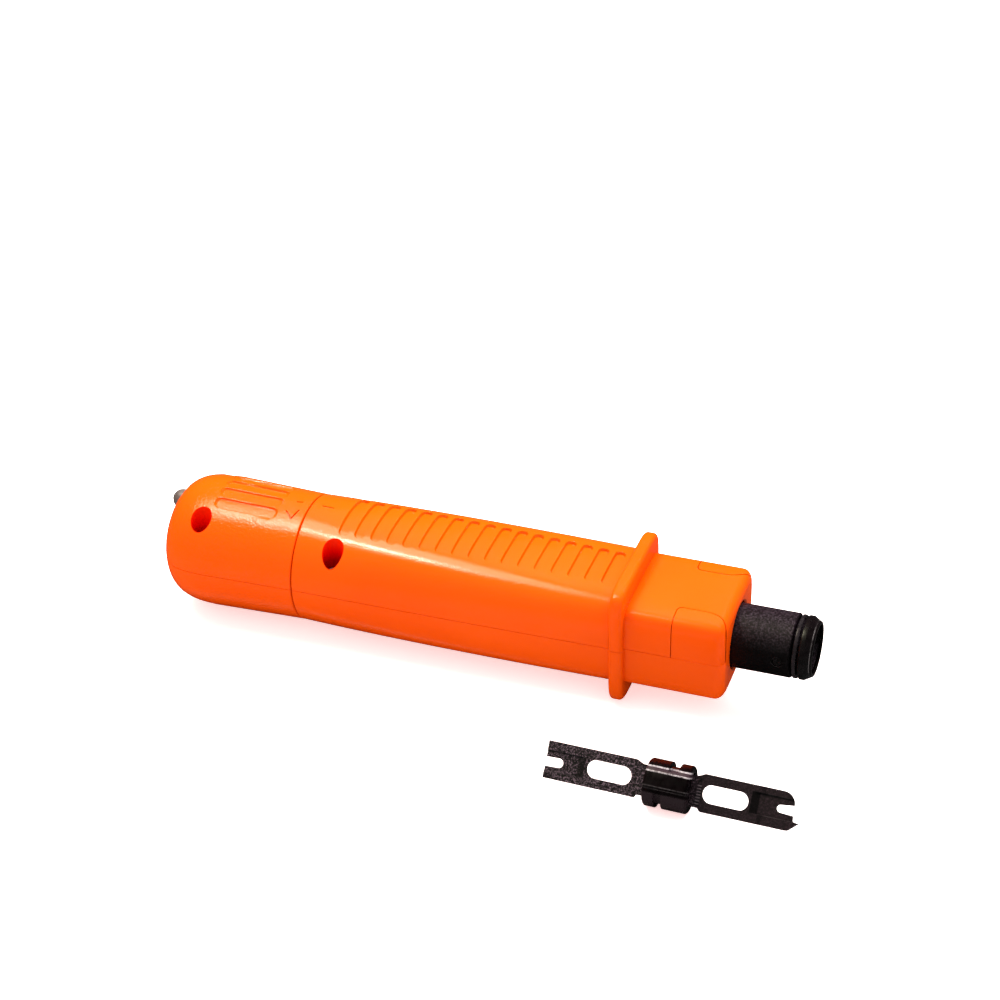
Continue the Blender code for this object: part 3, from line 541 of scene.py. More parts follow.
def black_sand():
    """Fine sand-textured black finish of the nozzle, with painted light: paler on its upward-facing
    top, dark below.
    """
    m = Mat("black_sand_finish")
    grain = m.noise(scale=2.6, rough=0.62)
    cell_share = 0.6
    height = m.math("ADD", m.times(m.cells(scale=4.2), cell_share), grain)
    # painted light: surfaces facing up get the paler tone, the underside stays dark
    painted_top_light = m.span(m.toward((-0.10, -0.10, 0.99)), start=0.35, end=0.85)
    dark = m.ramp(grain, (0.35, (0.0014, 0.0003, 0.0009)), (0.62, (0.0042, 0.0014, 0.0026)))
    pale = m.ramp(grain, (0.40, (0.0048, 0.0020, 0.0031)), (0.50, (0.0110, 0.0056, 0.0084)),
                  (0.63, (0.0360, 0.0225, 0.0310)))
    tone = m.mix(painted_top_light, dark, pale)
    wear = m.ramp(m.noise(scale=0.8, detail=2.0), (0.4, 0.02), (0.6, 0.28))
    tone = m.mix(m.times(m.edge(), wear), tone, (0.12, 0.10, 0.105))
    return m.surface(tone, m.ramp(m.noise(scale=0.5), (0.3, 0.42), (0.7, 0.54)),
                     m.bump(height, strength=0.6, depth=0.07), Specular_IOR_Level=0.34)


def black_oxide():
    """Smooth black oxide of the nozzle's collar and bayonet pins."""
    m = Mat("black_oxide_turned")
    lathe = m.noise(scale=1.5, detail=2.0, vector=m.scaled((9.0, 0.6, 0.6)))
    tone = m.ramp(m.noise(scale=0.6, detail=4.0),
                  (0.3, (0.0022, 0.0010, 0.0014)), (0.75, (0.0060, 0.0036, 0.0042)))
    wear = m.ramp(m.noise(scale=0.45, detail=2.0), (0.42, 0.03), (0.62, 0.42))
    tone = m.mix(m.times(m.edge(radius=0.13), wear), tone, (0.26, 0.23, 0.23))
    return m.surface(tone, m.ramp(lathe, (0.3, 0.22), (0.7, 0.36)),
                     m.bump(lathe, strength=0.10, depth=0.02), Specular_IOR_Level=0.6)


def steel(name, dark, light, rough, marks=(10.0, 0.7, 0.7), stain=None, metal=0.6):
    """Brushed steel; marks is the stretch of the brushing and rough its lowest and highest."""
    m = Mat(name)
    brush = m.noise(scale=1.8, detail=4.0, rough=0.6, vector=m.scaled(marks))
    tone = m.ramp(m.noise(scale=0.7, detail=4.0), (0.3, dark), (0.7, light))
    if stain:
        spots = m.ramp(m.noise(scale=1.3, detail=5.0, rough=0.7), (0.52, 0.0), (0.66, 1.0))
        tone = m.mix(spots, tone, stain, strength=0.65)
    # edges lightened toward pale grey; on the dark oiled ring this is a painted highlight line
    tone = m.mix(m.edge(), tone, (0.78, 0.76, 0.74), strength=0.35)
    return m.surface(tone, m.ramp(brush, (0.25, rough[0]), (0.75, rough[1])),
                     m.bump(brush, strength=0.10, depth=0.02), Metallic=metal)


def hammered_blade():
    """Black blade: coarse hammered oxide at the rear half, smoother at the front."""
    m = Mat("hammered_black_blade")
    x = m.xyz()["X"]
    coarse = m.noise(scale=3.4, rough=0.62)
    fine = m.noise(scale=4.5, rough=0.6)
    hammered = m.span(x, start=BLADE_AT[0] + 3.0, end=BLADE_AT[0] + 7.0,
                      to_start=1.0, to_end=0.10)
    rough_tone = m.ramp(coarse, (0.44, (0.0012, 0.0003, 0.0007)),
                        (0.52, (0.0105, 0.0046, 0.0068)), (0.61, (0.1500, 0.0980, 0.1220)))
    plain_tone = m.ramp(coarse, (0.35, (0.0085, 0.0032, 0.0048)),
                        (0.65, (0.0195, 0.0084, 0.0112)))
    tone = m.mix(hammered, plain_tone, rough_tone)
    # painted shade: steps, ramps and edges that turn away from the face are darkened
    flat = m.ramp(m.toward(BLADE_FACE), (0.955, 0.10), (0.990, 1.0))
    tone = m.mix(1.0, tone, flat, blend="MULTIPLY")
    # shaded +Y walls of the two wire channels
    u, v = m.from_blade(BLADE_ALONG), m.from_blade(BLADE_ACROSS)
    shade_front = m.times(m.band(v, lo=2.25, hi=2.6, soft=0.08), m.span(u, start=18.3, end=18.9))
    shade_rear = m.times(m.band(v, lo=1.75, hi=2.05, soft=0.08),
                         m.span(u, start=-18.6, end=-19.2))
    tone = m.mix(m.math("MAXIMUM", shade_front, shade_rear), tone, (0.0012, 0.0004, 0.0007),
                 strength=0.85)
    # painted highlights on the tips and painted shade in the gaps of the stamped comb
    phase = m.times(m.math("SUBTRACT", v, COMB_TOP), 2 * math.pi / COMB_PITCH)
    wave = m.math("COSINE", phase)
    tips = m.times(m.span(wave, start=0.1, end=0.8), m.band(u, lo=6.25, hi=7.05, soft=0.08),
                   m.band(v, lo=-2.7, hi=1.6, soft=0.1))
    tone = m.mix(tips, tone, (0.115, 0.085, 0.095), strength=0.8)
    gaps = m.times(m.span(wave, start=-0.2, end=-0.8), m.band(u, lo=6.0, hi=7.05, soft=0.08))
    tone = m.mix(gaps, tone, (0.002, 0.001, 0.0015), strength=0.8)
    # edges lightened along the noise: partly wear, partly painted highlight on the ridges
    wear = m.ramp(m.noise(scale=0.5, detail=2.0), (0.42, 0.05), (0.62, 0.40))
    tone = m.mix(m.times(m.edge(radius=0.12), wear), tone, (0.20, 0.165, 0.17))
    fine_share = 0.4
    height = m.times(m.math("ADD", coarse, m.times(fine, fine_share)), hammered)
    return m.surface(tone, m.ramp(coarse, (0.35, 0.52), (0.65, 0.33)),
                     m.bump(height, strength=0.8, depth=0.16), Specular_IOR_Level=0.5)


# place across the collar, half width, strength
RUBBED_LINES = ((3.5, 0.13, 0.75), (2.5, 0.12, 0.80), (-0.55, 0.08, 0.10), (-1.1, 0.05, 0.07))


def blade_collar_oxide():
    """Black collar of the blade: bright worn ridges beside the front flat, greyer below."""
    m = Mat("black_oxide_blade_collar")
    v = m.from_blade(BLADE_ACROSS)
    front = m.span(m.from_blade(BLADE_FACE), start=1.0, end=1.6)
    tone = m.ramp(m.noise(scale=0.6, detail=4.0),
                  (0.3, (0.0012, 0.0004, 0.0007)), (0.75, (0.0040, 0.0016, 0.0022)))
    below = m.times(m.span(v, start=-1.8, end=-2.1), front)
    tone = m.mix(below, tone, (0.0180, 0.0105, 0.0130))
    between = m.times(m.band(v, lo=2.5, hi=3.5, soft=0.08), front)
    tone = m.mix(between, tone, (0.0400, 0.0215, 0.0275), strength=0.8)
    wear = m.ramp(m.noise(scale=1.6, detail=4.0, rough=0.7), (0.36, 0.15), (0.58, 1.0))
    for at, half, strength in RUBBED_LINES:
        line = m.times(m.band(v, lo=at - half, hi=at + half, soft=0.06), front)
        tone = m.mix(m.times(line, wear), tone, (0.46, 0.40, 0.41), strength=strength)
    edge_share = 0.22
    worn = m.times(m.edge(radius=0.13), m.times(wear, edge_share))
    tone = m.mix(worn, tone, (0.22, 0.17, 0.17))
    return m.surface(tone, m.ramp(m.noise(scale=0.9), (0.3, 0.24), (0.7, 0.38)),
                     m.bump(m.noise(scale=2.0), strength=0.15, depth=0.03),
                     Specular_IOR_Level=0.22)


# Each finish is a material and a slot name.
ACROSS = (0.7, 10.0, 0.7)                      # brushing of parts that are not turned
ORANGE = orange_plastic(), "orange_shell"
NATURAL = natural_plastic(), "natural_plastic"
SAND = black_sand(), "black_nozzle"
OXIDE = black_oxide(), "black_collar"
BRIGHT = steel("bright_ring_steel", dark=(0.62, 0.61, 0.60), light=(0.80, 0.79, 0.77),
               rough=(0.16, 0.30)), "bright_steel"
PLAIN = steel("plain_dull_steel", dark=(0.30, 0.275, 0.26), light=(0.46, 0.42, 0.39),
              rough=(0.34, 0.52), marks=ACROSS), "plain_steel"
TARNISHED = steel("tarnished_pivot_steel", dark=(0.115, 0.085, 0.078),
                  light=(0.20, 0.155, 0.145), rough=(0.34, 0.50), marks=ACROSS,
                  stain=(0.12, 0.07, 0.045), metal=0.3), "plain_steel"
HAMMER = steel("oiled_hammer_steel", dark=(0.22, 0.22, 0.235), light=(0.34, 0.34, 0.355),
               rough=(0.24, 0.42)), "hammer_steel"
SPRING = steel("drawn_spring_wire", dark=(0.42, 0.42, 0.44), light=(0.58, 0.58, 0.60),
               rough=(0.20, 0.34)), "spring_steel"
ZINC = steel("zinc_plated_screw", dark=(0.50, 0.50, 0.49), light=(0.68, 0.68, 0.66),
             rough=(0.26, 0.44), marks=ACROSS), "zinc_screw"
OILED = steel("oiled_spring_ring", dark=(0.014, 0.010, 0.012), light=(0.040, 0.031, 0.035),
              rough=(0.20, 0.34), metal=0.5), "bright_steel"
BLADE = hammered_blade(), "oxide_blade"
BLADE_COLLAR = blade_collar_oxide(), "oxide_blade"


def stands_for(ob, node, body, finish):
    """Put an object in place of a CAD piece on a moving body."""
    material, slot = finish
    ob.data.materials.clear()
    ob.data.materials.append(material)
    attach(ob, body)
    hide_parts(node)


def turned_part(node, body, finish, profile, count, centre=(0.0, 0.0), axis="X",
                smooth_deg=40.0):
    ob = to_object(node + "_fine", turned(profile, count, centre, axis), smooth_deg)
    stands_for(ob, node, body, finish)


# ------------------------------------------------------------ handle shells ----
def body_section(x):
    """Half width, half height and power of the handle behind the guard."""
    t = (x - BODY_START_X) / (GUARD_X0 - BODY_START_X)
    return (REAR_HALF_W + (FRONT_HALF_W - REAR_HALF_W) * t * t,
            REAR_HALF_H + (FRONT_HALF_H - REAR_HALF_H) * t,
            REAR_POWER + (FRONT_POWER - REAR_POWER) * t)


def thinned(values, gap):
    """Sorted values without those closer than a gap to the one before."""
    values = sorted(values)
    keep = [values[0]]
    for value in values[1:]:
        if value - keep[-1] > gap:
            keep.append(value)
    return keep


def half_turn(count, extra, gap):
    """Angles from 0 to pi: even ones with extra ones (degrees) between them."""
    even = {round(180.0 * i / count, 4) for i in range(count + 1)}
    keep = thinned(even | {round(angle, 4) for angle in extra}, gap)
    keep[-1] = 180.0
    return [math.radians(angle) for angle in keep]


def half_solid(stations, part_z, side, angles, shape):
    """Half shell blank above (side 1) or below (side -1) part_z, shaped point by point.

    Stations are (x, half width, half height, power)."""
    rings = []
    base = part_z + side * PART_CHAMFER
    for x, half_w, half_h, power in stations:
        ring = [(x, half_w - PART_CHAMFER, part_z)]
        for t in angles:
            y = half_w * bend(math.cos(t), power)
            rise = max(0.0, math.sin(t)) ** (2.0 / power)
            ring.append(shape(x, y, base + side * (half_h - side * base) * rise))
        ring.append((x, -half_w + PART_CHAMFER, part_z))
        rings.append(ring)
    return ring_solid(rings)


def sunk(depth, distance):
    """Depth of a soft-lipped recess; distance is below zero inside its outline."""
    t = min(1.0, max(0.0, (distance - 0.10) / (-0.14 - 0.10)))
    return depth * (t * t * (3 - 2 * t))


def grooved(x, y, z):
    """Sink the cross grooves, stadium outlines that shorten toward the guard."""
    i = round((x - GROOVE_X0) / GROOVE_PITCH)
    if i < 0 or i >= GROOVES or abs(z) <= 4.0:
        return x, y, z
    middle = GROOVE_X0 + GROOVE_PITCH * i
    taper = min(1.0, max(0.0, (middle - 58.0) / 46.0))
    half_w = GROOVE_W / 2
    half_length = 7.25 - 1.05 * taper - half_w
    distance = math.hypot(x - middle, max(0.0, abs(y) - half_length)) - half_w
    return x, y, z - math.copysign(sunk(GROOVE_DEPTH, distance), z)


GROOVE_ROWS = (0.22, 0.09, 0.02, -0.06, -0.14, -0.30, -0.55)    # outward from its edges


def groove_stations():
    xs = []
    for i in range(GROOVES):
        middle = GROOVE_X0 + GROOVE_PITCH * i
        for row in GROOVE_ROWS:
            reach = GROOVE_W / 2 + row
            xs += [middle - reach, middle + reach]
        xs += [middle - 0.3, middle, middle + 0.3, middle + GROOVE_PITCH / 2]
    return xs


def body_angles():
    """Closer rows over the ends of the grooves."""
    close = []
    angle = 58.0
    while angle <= 79.0:
        close += [angle, 180.0 - angle]
        angle += 0.7
    return half_turn(54, close, 0.35)


def quarter(steps):
    """Pairs (1 - cosine, 1 - sine) over a quarter turn."""
    turns = [math.radians(90.0 * k / steps) for k in range(steps + 1)]
    return [(1 - math.cos(t), 1 - math.sin(t)) for t in turns]


def nose_stations():
    section = (NOSE_HALF_W, NOSE_HALF_H, NOSE_POWER)
    stations = [(x, *section) for x in (121.6, 124.0, 128.0)]
    for inset, back in quarter(7):
        d = NOSE_EDGE * inset
        stations.append((BODY_END_X - NOSE_EDGE * back, NOSE_HALF_W - d, NOSE_HALF_H - d,
                         NOSE_POWER))
    return stations


def body_stations():
    half_w, half_h, power = body_section(BODY_START_X)
    stations = [(BODY_START_X, half_w - END_EDGE, half_h - END_EDGE, power)]
    xs = [BODY_START_X + END_EDGE, 36.0, 38.0, 40.0, 41.8] + groove_stations() + [107.3, GUARD_X0]
    stations += [(x, *body_section(x)) for x in thinned(xs, 0.05)]
    rise = [(GUARD_X0 + GUARD_INSET + GUARD_EDGE * c, GUARD_EDGE * s) for c, s in quarter(6)]
    fall = [(GUARD_X1 - GUARD_INSET - GUARD_EDGE * s, GUARD_EDGE * c) for c, s in quarter(6)]
    stations += [(x, GUARD_HALF_W - d, GUARD_HALF_H - d, GUARD_POWER) for x, d in rise + fall]
    stations += [(x, NOSE_HALF_W, NOSE_HALF_H, NOSE_POWER)
                 for x in (GUARD_X1, 113.0, 117.0, 121.0)]
    return stations + nose_stations()


def body_cavity():
    def hollow(x):
        half_w, half_h, power = body_section(x)
        return x, half_w - WALL, half_h - WALL, power

    def bore(x, radius):
        return x, radius, radius, 2.0

    tube_clear = TUBE_R + 0.45
    screw_x = BODY_SCREW[0]
    post_w = tube_clear + 0.2
    guard_w, guard_h, guard_power = hollow(GUARD_X0)[1:]
    return loft([
        bore(BODY_START_X - 1.0, tube_clear), bore(37.0, tube_clear), hollow(37.02),
        hollow(screw_x - POST_HALF - STEP), (screw_x - POST_HALF, post_w, 11.6, 2.6),
        (screw_x + POST_HALF, post_w, 11.4, 2.6), hollow(screw_x + POST_HALF + STEP),
        hollow(62.88), bore(62.9, 7.2), bore(65.1, 7.2), hollow(65.12),
        hollow(80.0), hollow(95.0), hollow(GUARD_X0),
        (111.28, guard_w - 0.5, guard_h - 0.2, guard_power),
        bore(111.3, GUIDE_R), bore(128.0, GUIDE_R), bore(128.6, MOUTH_R),
        bore(BODY_END_X - 0.35, MOUTH_R), bore(BODY_END_X + 0.05, MOUTH_R + 0.3),
        bore(BODY_END_X + 1.0, MOUTH_R + 0.3)], 72)


def ear(side, grow):
    """One locking ear with rounded corners, its plan grown outward by grow."""
    x0, y0 = EAR_X0 - grow, EAR_Y - grow
    points = [(x0, 30.0), (x0, y0 + 1.0), (x0 + 0.3, y0 + 0.3), (x0 + 1.0, y0)]
    for k in range(9):
        t = math.radians(80.0 * k / 8)
        points.append((128.4 + (5.4 + grow) * math.sin(t), y0 + 4.6 * (1 - math.cos(t))))
    points += [(135.4, y0 + 5.6), (135.4, 30.0)]
    return prism([(x, side * y) for x, y in points], -5, 25)


def upper_screw_cuts(screw, side, top):
    """Well with a small chamfer at its floor, and the shank hole below it."""
    at = (screw[0], side * screw[1])
    floor_z = HEAD_Z - 0.3
    well = turned([(floor_z, 0.0), (floor_z, WELL_R - 0.25), (floor_z + 0.25, WELL_R),
                   (top, WELL_R + 0.10), (top, 0.0)], 48, at, "Z")
    return [well, rod(-2.0, HEAD_Z, SHANK_R + 0.4, 24, at)]


def lower_screw_cuts(screw, bottom):
    return [rod(bottom, 2.0, SHANK_R + 0.3, 24, (screw[0], side * screw[1])) for side in (-1, 1)]


def pivot_bore(start):
    return rod(start, 45.0, ROD_R + 0.35, 32, PIVOT, "X")


# upper shell; a small pointed notch lies on its crest near the rear
NOTCH = [(36.5, -0.14), (39.2, -0.14), (39.35, 0.0), (39.2, 0.14), (36.5, 0.14), (36.35, 0.0)]
upper = to_object("upper_shell_fine",
                  half_solid(body_stations(), UPPER_PART_Z, 1, body_angles(), grooved))
cutters = [body_cavity(), pivot_bore(30.0)]
for side in (-1, 1):
    cutters += [ear(side, EAR_GAP), *upper_screw_cuts(BODY_SCREW, side, top=24.0)]
cutters.append(prism(NOTCH, body_section(38)[1] - 0.38, 20))
carve(upper, cutters)
stands_for(upper, "upper_shell", "handle", ORANGE)

# lower shell, with the ears that rise through the upper one
lower = to_object("lower_shell_fine",
                  half_solid(body_stations(), LOWER_PART_Z, -1, body_angles(), grooved))
ears = to_object("ears", half_solid(nose_stations(), LOWER_PART_Z, 1, body_angles(), grooved))
carve(ears, [merge(outward(ear(1, -EAR_GAP)), outward(ear(-1, -EAR_GAP)))], "INTERSECT")
combine(lower, [ears], "UNION")
carve(lower, [body_cavity()] + lower_screw_cuts(BODY_SCREW, bottom=-7.0))
stands_for(lower, "lower_shell", "handle", ORANGE)


# --------------------------------------------------------------- end cap ----
def cap_radius(x):
    """Flattened dome, then a straight taper to the seam."""
    def dome(x):
        u = max(0.0, 1.0 - (x - DOME_X0) / DOME_DEPTH)
        return CAP_R * (1.0 - u ** DOME_POWER) ** (1.0 / DOME_POWER)
    if x < DOME_END_X:
        return dome(x)
    start = dome(DOME_END_X)
    return start + (CAP_SEAM_R - start) * (x - DOME_END_X) / (CAP_END_X - DOME_END_X)


def slotted(x, y, z):
    """Sink the lengthwise thumb slots toward the cap's axis."""
    if abs(z) < 6.0 or x < 9.0 or x > 29.5:
        return x, y, z
    half_w = CAP_SLOT_W / 2
    beyond = max(CAP_SLOT_X[0] + half_w - x, 0.0, x - (CAP_SLOT_X[1] - half_w))
    depth = max(sunk(CAP_SLOT_DEPTH, math.hypot(beyond, y - slot_y) - half_w)
                for slot_y in CAP_SLOT_Y)
    r = math.hypot(y, z)
    k = (r - depth) / r
    return x, y * k, z * k


SLOT_SIDE_ROWS = (-0.26, -0.16, -0.06, 0.04, 0.14, 0.26)        # across each long edge
SLOT_END_ROWS = (-0.45, -0.2, -0.08, 0.04, 0.16, 0.3, 0.5, 0.75, 1.0, 1.3, 1.7)   # inward
DOME_ROWS = [0.0, 0.02, 0.06, 0.12, 0.22, 0.36, 0.55, 0.8, 1.1, 1.5, 2.0, 2.6, 3.3, 4.2, 5.2,
             6.4, 7.8, 9.4]
PLAIN_ROWS = [14.5, 16.5, 18.5, 20.5, 22.5, 24.5, 29.5, 31.5]


def cap_angles():
    """Close rows at the long edges of the slots."""
    close = [math.degrees(math.acos((slot_y + edge + row) / 15.1))
             for slot_y in CAP_SLOT_Y for edge in (-CAP_SLOT_W / 2, CAP_SLOT_W / 2)
             for row in SLOT_SIDE_ROWS]
    return half_turn(60, close, 0.2)


def cap_stations():
    xs = DOME_ROWS + PLAIN_ROWS + [CAP_END_X - CAP_EDGE]
    xs += [CAP_SLOT_X[0] + row for row in SLOT_END_ROWS]
    xs += [CAP_SLOT_X[1] - row for row in SLOT_END_ROWS]
    rows = [(x, cap_radius(x)) for x in sorted(xs)]
    rows.append((CAP_END_X, cap_radius(CAP_END_X) - CAP_EDGE))
    return [(x, r, r, 2.0) for x, r in rows]


def cap_cavity():
    def wide(x):
        return cap_radius(x) - WALL - 0.1

    rear, front = CAP_SCREW[0] - POST_HALF, CAP_SCREW[0] + POST_HALF
    mouth = wide(33.0)
    # x, half width, half height, power
    return loft([
        (4.4, 9.0, 9.0, 2.0), (5.2, 11.4, 11.4, 2.0),
        (rear - STEP, wide(rear), wide(rear), 2.0), (rear, 5.8, 12.2, 2.4),
        (front, 5.8, 12.4, 2.4), (front + STEP, wide(front), wide(front), 2.0),
        (24.0, wide(24.0), wide(24.0), 2.0), (CAP_END_X - 0.3, mouth, mouth, 2.0),
        (CAP_END_X + 0.02, mouth + 0.25, mouth + 0.25, 2.0),
        (CAP_END_X + 1.0, mouth + 0.25, mouth + 0.25, 2.0)], 72)


def stroke(x0, y0, x1, y1, width, depth):
    """Engraved line that follows the cap's round surface."""
    dx, dy = x1 - x0, y1 - y0
    k = width / 2 / math.hypot(dx, dy)
    corners = [(x0 + dy * k, y0 - dx * k), (x1 + dy * k, y1 - dx * k),
               (x1 - dy * k, y1 + dx * k), (x0 - dy * k, y0 + dx * k)]
    bm = ring_solid([[(x, y, math.sqrt(cap_radius(x) ** 2 - y * y) - depth) for x, y in corners],
                     [(x, y, 20.0) for x, y in corners]])
    bmesh.ops.triangulate(bm, faces=bm.faces)
    return bm


# x0, y0, x1, y1, width, depth of the engraved lines near the cap's front
STROKES = ((30.35, -0.5, 31.8, -0.14, 0.30, 0.32), (29.2, -3.9, 31.14, -5.8, 0.34, 0.30),
           (31.02, -5.9, 32.0, -2.95, 0.34, 0.31))
# recess for the pivot screw's head (x, radius)
HEAD_RECESS = [(-6.0, 0.0), (-6.0, 3.3), (3.0, 3.3), (3.1, 3.2), (3.1, 0.0)]

cap_upper = to_object("cap_upper_fine",
                      half_solid(cap_stations(), UPPER_PART_Z, 1, cap_angles(), slotted))
cutters = [cap_cavity(), pivot_bore(-4.0), turned(HEAD_RECESS, 48, PIVOT)]
for side in (-1, 1):
    cutters += upper_screw_cuts(CAP_SCREW, side, top=26.0)
cutters += [stroke(*line) for line in STROKES]
carve(cap_upper, cutters)
stands_for(cap_upper, "cap_upper_shell", "end_cap", ORANGE)

cap_lower = to_object("cap_lower_fine",
                      half_solid(cap_stations(), LOWER_PART_Z, -1, cap_angles(), slotted))
carve(cap_lower, [cap_cavity()] + lower_screw_cuts(CAP_SCREW, bottom=-9.5))
stands_for(cap_lower, "cap_lower_shell", "end_cap", ORANGE)

# ----------------------------------------------------------------- screws ----
THREAD_PITCH, NECK = 0.62, 1.6
CROSS_ARM, CROSS_HALF, CROSS_DEPTH = 1.15, 0.24, 0.9
# share of the head's height, share of its radius
HEAD_DOME = ((0.0, 1.0), (0.42, 1.0), (0.62, 0.94), (0.80, 0.80), (0.93, 0.58), (1.0, 0.3),
             (1.0, 0.0))


def fine_screw(node, x, y, body):
    """Upright threaded screw with a domed cross head."""
    z = box_mm(node)[0].z
    profile = [(z, 0.0), (z + 0.9, SHANK_R * 0.55)]
    z += 0.9
    while z < HEAD_Z - NECK:
        profile += [(z + 0.04, SHANK_R * 0.74), (z + THREAD_PITCH * 0.5, SHANK_R),
                    (z + THREAD_PITCH * 0.62, SHANK_R)]
        z += THREAD_PITCH
    profile += [(z + 0.2, SHANK_R * 0.8), (HEAD_Z, SHANK_R * 0.8)]
    profile += [(HEAD_Z + HEAD_H * height, HEAD_R * width) for height, width in HEAD_DOME]
    ob = to_object(node + "_fine", turned(profile, 40, (x, y), "Z"), 50.0)
    arm, half = CROSS_ARM, CROSS_HALF
    cross = [(-arm, -half), (-half, -half), (-half, -arm), (half, -arm), (half, -half),
             (arm, -half), (arm, half), (half, half), (half, arm), (-half, arm),
             (-half, half), (-arm, half)]
    slot = prism([(x + u, y + v) for u, v in cross], HEAD_Z + HEAD_H - CROSS_DEPTH, HEAD_Z + 4.0)
    carve(ob, [slot], smooth_deg=50.0)
    stands_for(ob, node, body, ZINC)


for name, side in (("right", -1), ("left", 1)):
    fine_screw("body_screw_" + name, BODY_SCREW[0], side * BODY_SCREW[1], "handle")
    fine_screw("cap_screw_" + name, CAP_SCREW[0], side * CAP_SCREW[1], "end_cap")

# ------------------------------------------------------------------ pivot ----
# long screw with a round slotted head at the rear
pivot_lo, pivot_hi = box_mm("pivot_screw")
head_x, head_r = pivot_lo.x, (pivot_hi.z - pivot_lo.z) / 2
profile = [(head_x, 0.0)]
for k in range(1, 15):
    t = math.radians(90.0 * k / 14)
    profile.append((head_x + head_r * (1 - math.cos(t)), head_r * math.sin(t)))
profile += [(1.55, head_r), (1.75, head_r - 0.08), (1.9, head_r - 0.25), (1.9, ROD_R),
            (39.0, ROD_R), (39.8, ROD_R), (40.1, ROD_R - 0.15), (pivot_hi.x, ROD_R - 0.4),
            (pivot_hi.x, 0.0)]
pivot = to_object("pivot_screw_fine", turned(profile, 56, PIVOT), 50.0)
driver_slot = box(head_x - 2, head_x + 0.8, -5, 5, PIVOT_Z - 0.4, PIVOT_Z + 0.4)
carve(pivot, [driver_slot], smooth_deg=50.0)
soften(pivot, width=0.06, angle=50.0)
stands_for(pivot, "pivot_screw", "handle", TARNISHED)

lo, hi = box_mm("pivot_washer")
washer_r, washer_hole_r = (hi.z - lo.z) / 2, 1.5
turned_part("pivot_washer", "handle", BRIGHT, filleted(
    [(lo.x, washer_hole_r), (lo.x, washer_r), (hi.x, washer_r), (hi.x, washer_hole_r)], 0.12),
    64, PIVOT, smooth_deg=50.0)

lo, hi = box_mm("pivot_nut")
nut_r = (hi.y - lo.y) / 2
hexagon = [(nut_r * math.cos(math.radians(60 * i)), PIVOT_Z + nut_r * math.sin(math.radians(60 * i)))
           for i in range(6)]
nut = to_object("pivot_nut_fine", prism(hexagon, lo.x, hi.x, "X"), 30.0)
carve(nut, [rod(36.0, 41.0, ROD_R + 0.3, 32, PIVOT, "X")], smooth_deg=30.0)
soften(nut, width=0.14, angle=40.0)
stands_for(nut, "pivot_nut", "handle", ZINC)

# ----------------------------------------------------------- inner parts ----
# Profiles are (x, radius) round the tool's axis.
lo, hi = box_mm("storage_tube")
tube_end = hi.x
turned_part("storage_tube", "handle", NATURAL, filleted(
    [(tube_end - 1.1, 0.0), (tube_end - 1.1, 5.5), (34.9, 5.5), (lo.x, 5.75), (lo.x, TUBE_R),
     (37.35, TUBE_R), (37.35, 7.05), (38.6, 7.05), (38.6, TUBE_R), (tube_end - 0.6, TUBE_R),
     (tube_end, TUBE_R - 0.6), (tube_end, 0.0)], 0.2), 72)

lo, hi = box_mm("spring_seat")
seat_in, seat_out = TUBE_R + 0.35, 9.6
turned_part("spring_seat", "handle", PLAIN, filleted(
    [(lo.x, seat_in), (lo.x, seat_out), (hi.x, seat_out), (hi.x, seat_in)], 0.2), 72)

# wedge, tall at the rear and 0.28 thick at the front
lo, hi = box_mm("release_wedge")
wedge = to_object("release_wedge_fine", prism(
    [(lo.x, lo.z), (hi.x, lo.z), (hi.x, lo.z + 0.28), (lo.x, hi.z)], lo.y, hi.y, "Y"), 30.0)
soften(wedge, width=0.10, angle=30.0)
stands_for(wedge, "release_wedge", "handle", PLAIN)

# hammer, cut across for the latch plate and bored for its spring
lo, hi = box_mm("hammer")
hammer_r, hammer_bore, hammer_sleeve = 8.0, 2.85, TUBE_R + 0.4
hammer = to_object("hammer_fine", turned(filleted(
    [(lo.x, hammer_sleeve), (lo.x, hammer_r), (hi.x, hammer_r), (hi.x, hammer_bore),
     (98.6, hammer_bore), (98.6, hammer_sleeve)], 0.35), 72))
carve(hammer, [box(LATCH_X - 1.15, LATCH_X + 1.15, -4.5, 4.5, -12.0, 6.9),
               rod(4.0, 7.45, 1.12, 24, (LATCH_X, 0.0))])
stands_for(hammer, "hammer", "hammer", HAMMER)

# latch plate outline (y, z) with a hole below the axis
LATCH_OUTLINE = [(-4.1, -7.4), (-2.4, -9.5), (2.4, -9.5), (4.1, -7.4),
                 (4.1, 4.6), (3.6, 5.1), (-3.6, 5.1), (-4.1, 4.6)]
lo, hi = box_mm("latch_plate")
latch = to_object("latch_plate_fine", prism(LATCH_OUTLINE, lo.x, hi.x, "X"), 30.0)
carve(latch, [rod(99.0, 106.0, hammer_bore, 48, (0.0, -1.5), "X")], smooth_deg=30.0)
soften(latch, width=0.10, angle=40.0)
stands_for(latch, "latch_plate", "latch", PLAIN)

main_spring = to_object("main_spring_fine", coil(
    start=67.9, end=89.1, radius=7.25, wire_r=0.5, turns=7.0, per_turn=48, sides=14), 60.0)
stands_for(main_spring, "main_spring", "hammer", SPRING)
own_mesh(main_spring)

recoil_spring = to_object("recoil_spring_fine", coil(
    start=106.05, end=108.35, radius=5.2, wire_r=0.4, turns=2.05, per_turn=48, sides=12), 60.0)
stands_for(recoil_spring, "recoil_spring", "nozzle", SPRING)

latch_spring = to_object("latch_spring_fine", coil(
    start=5.55, end=7.15, radius=0.62, wire_r=0.14, turns=3.0, per_turn=28, sides=8,
    axis="Z", centre=(LATCH_X, 0.0)), 60.0)
stands_for(latch_spring, "latch_spring", "hammer", SPRING)
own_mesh(latch_spring)

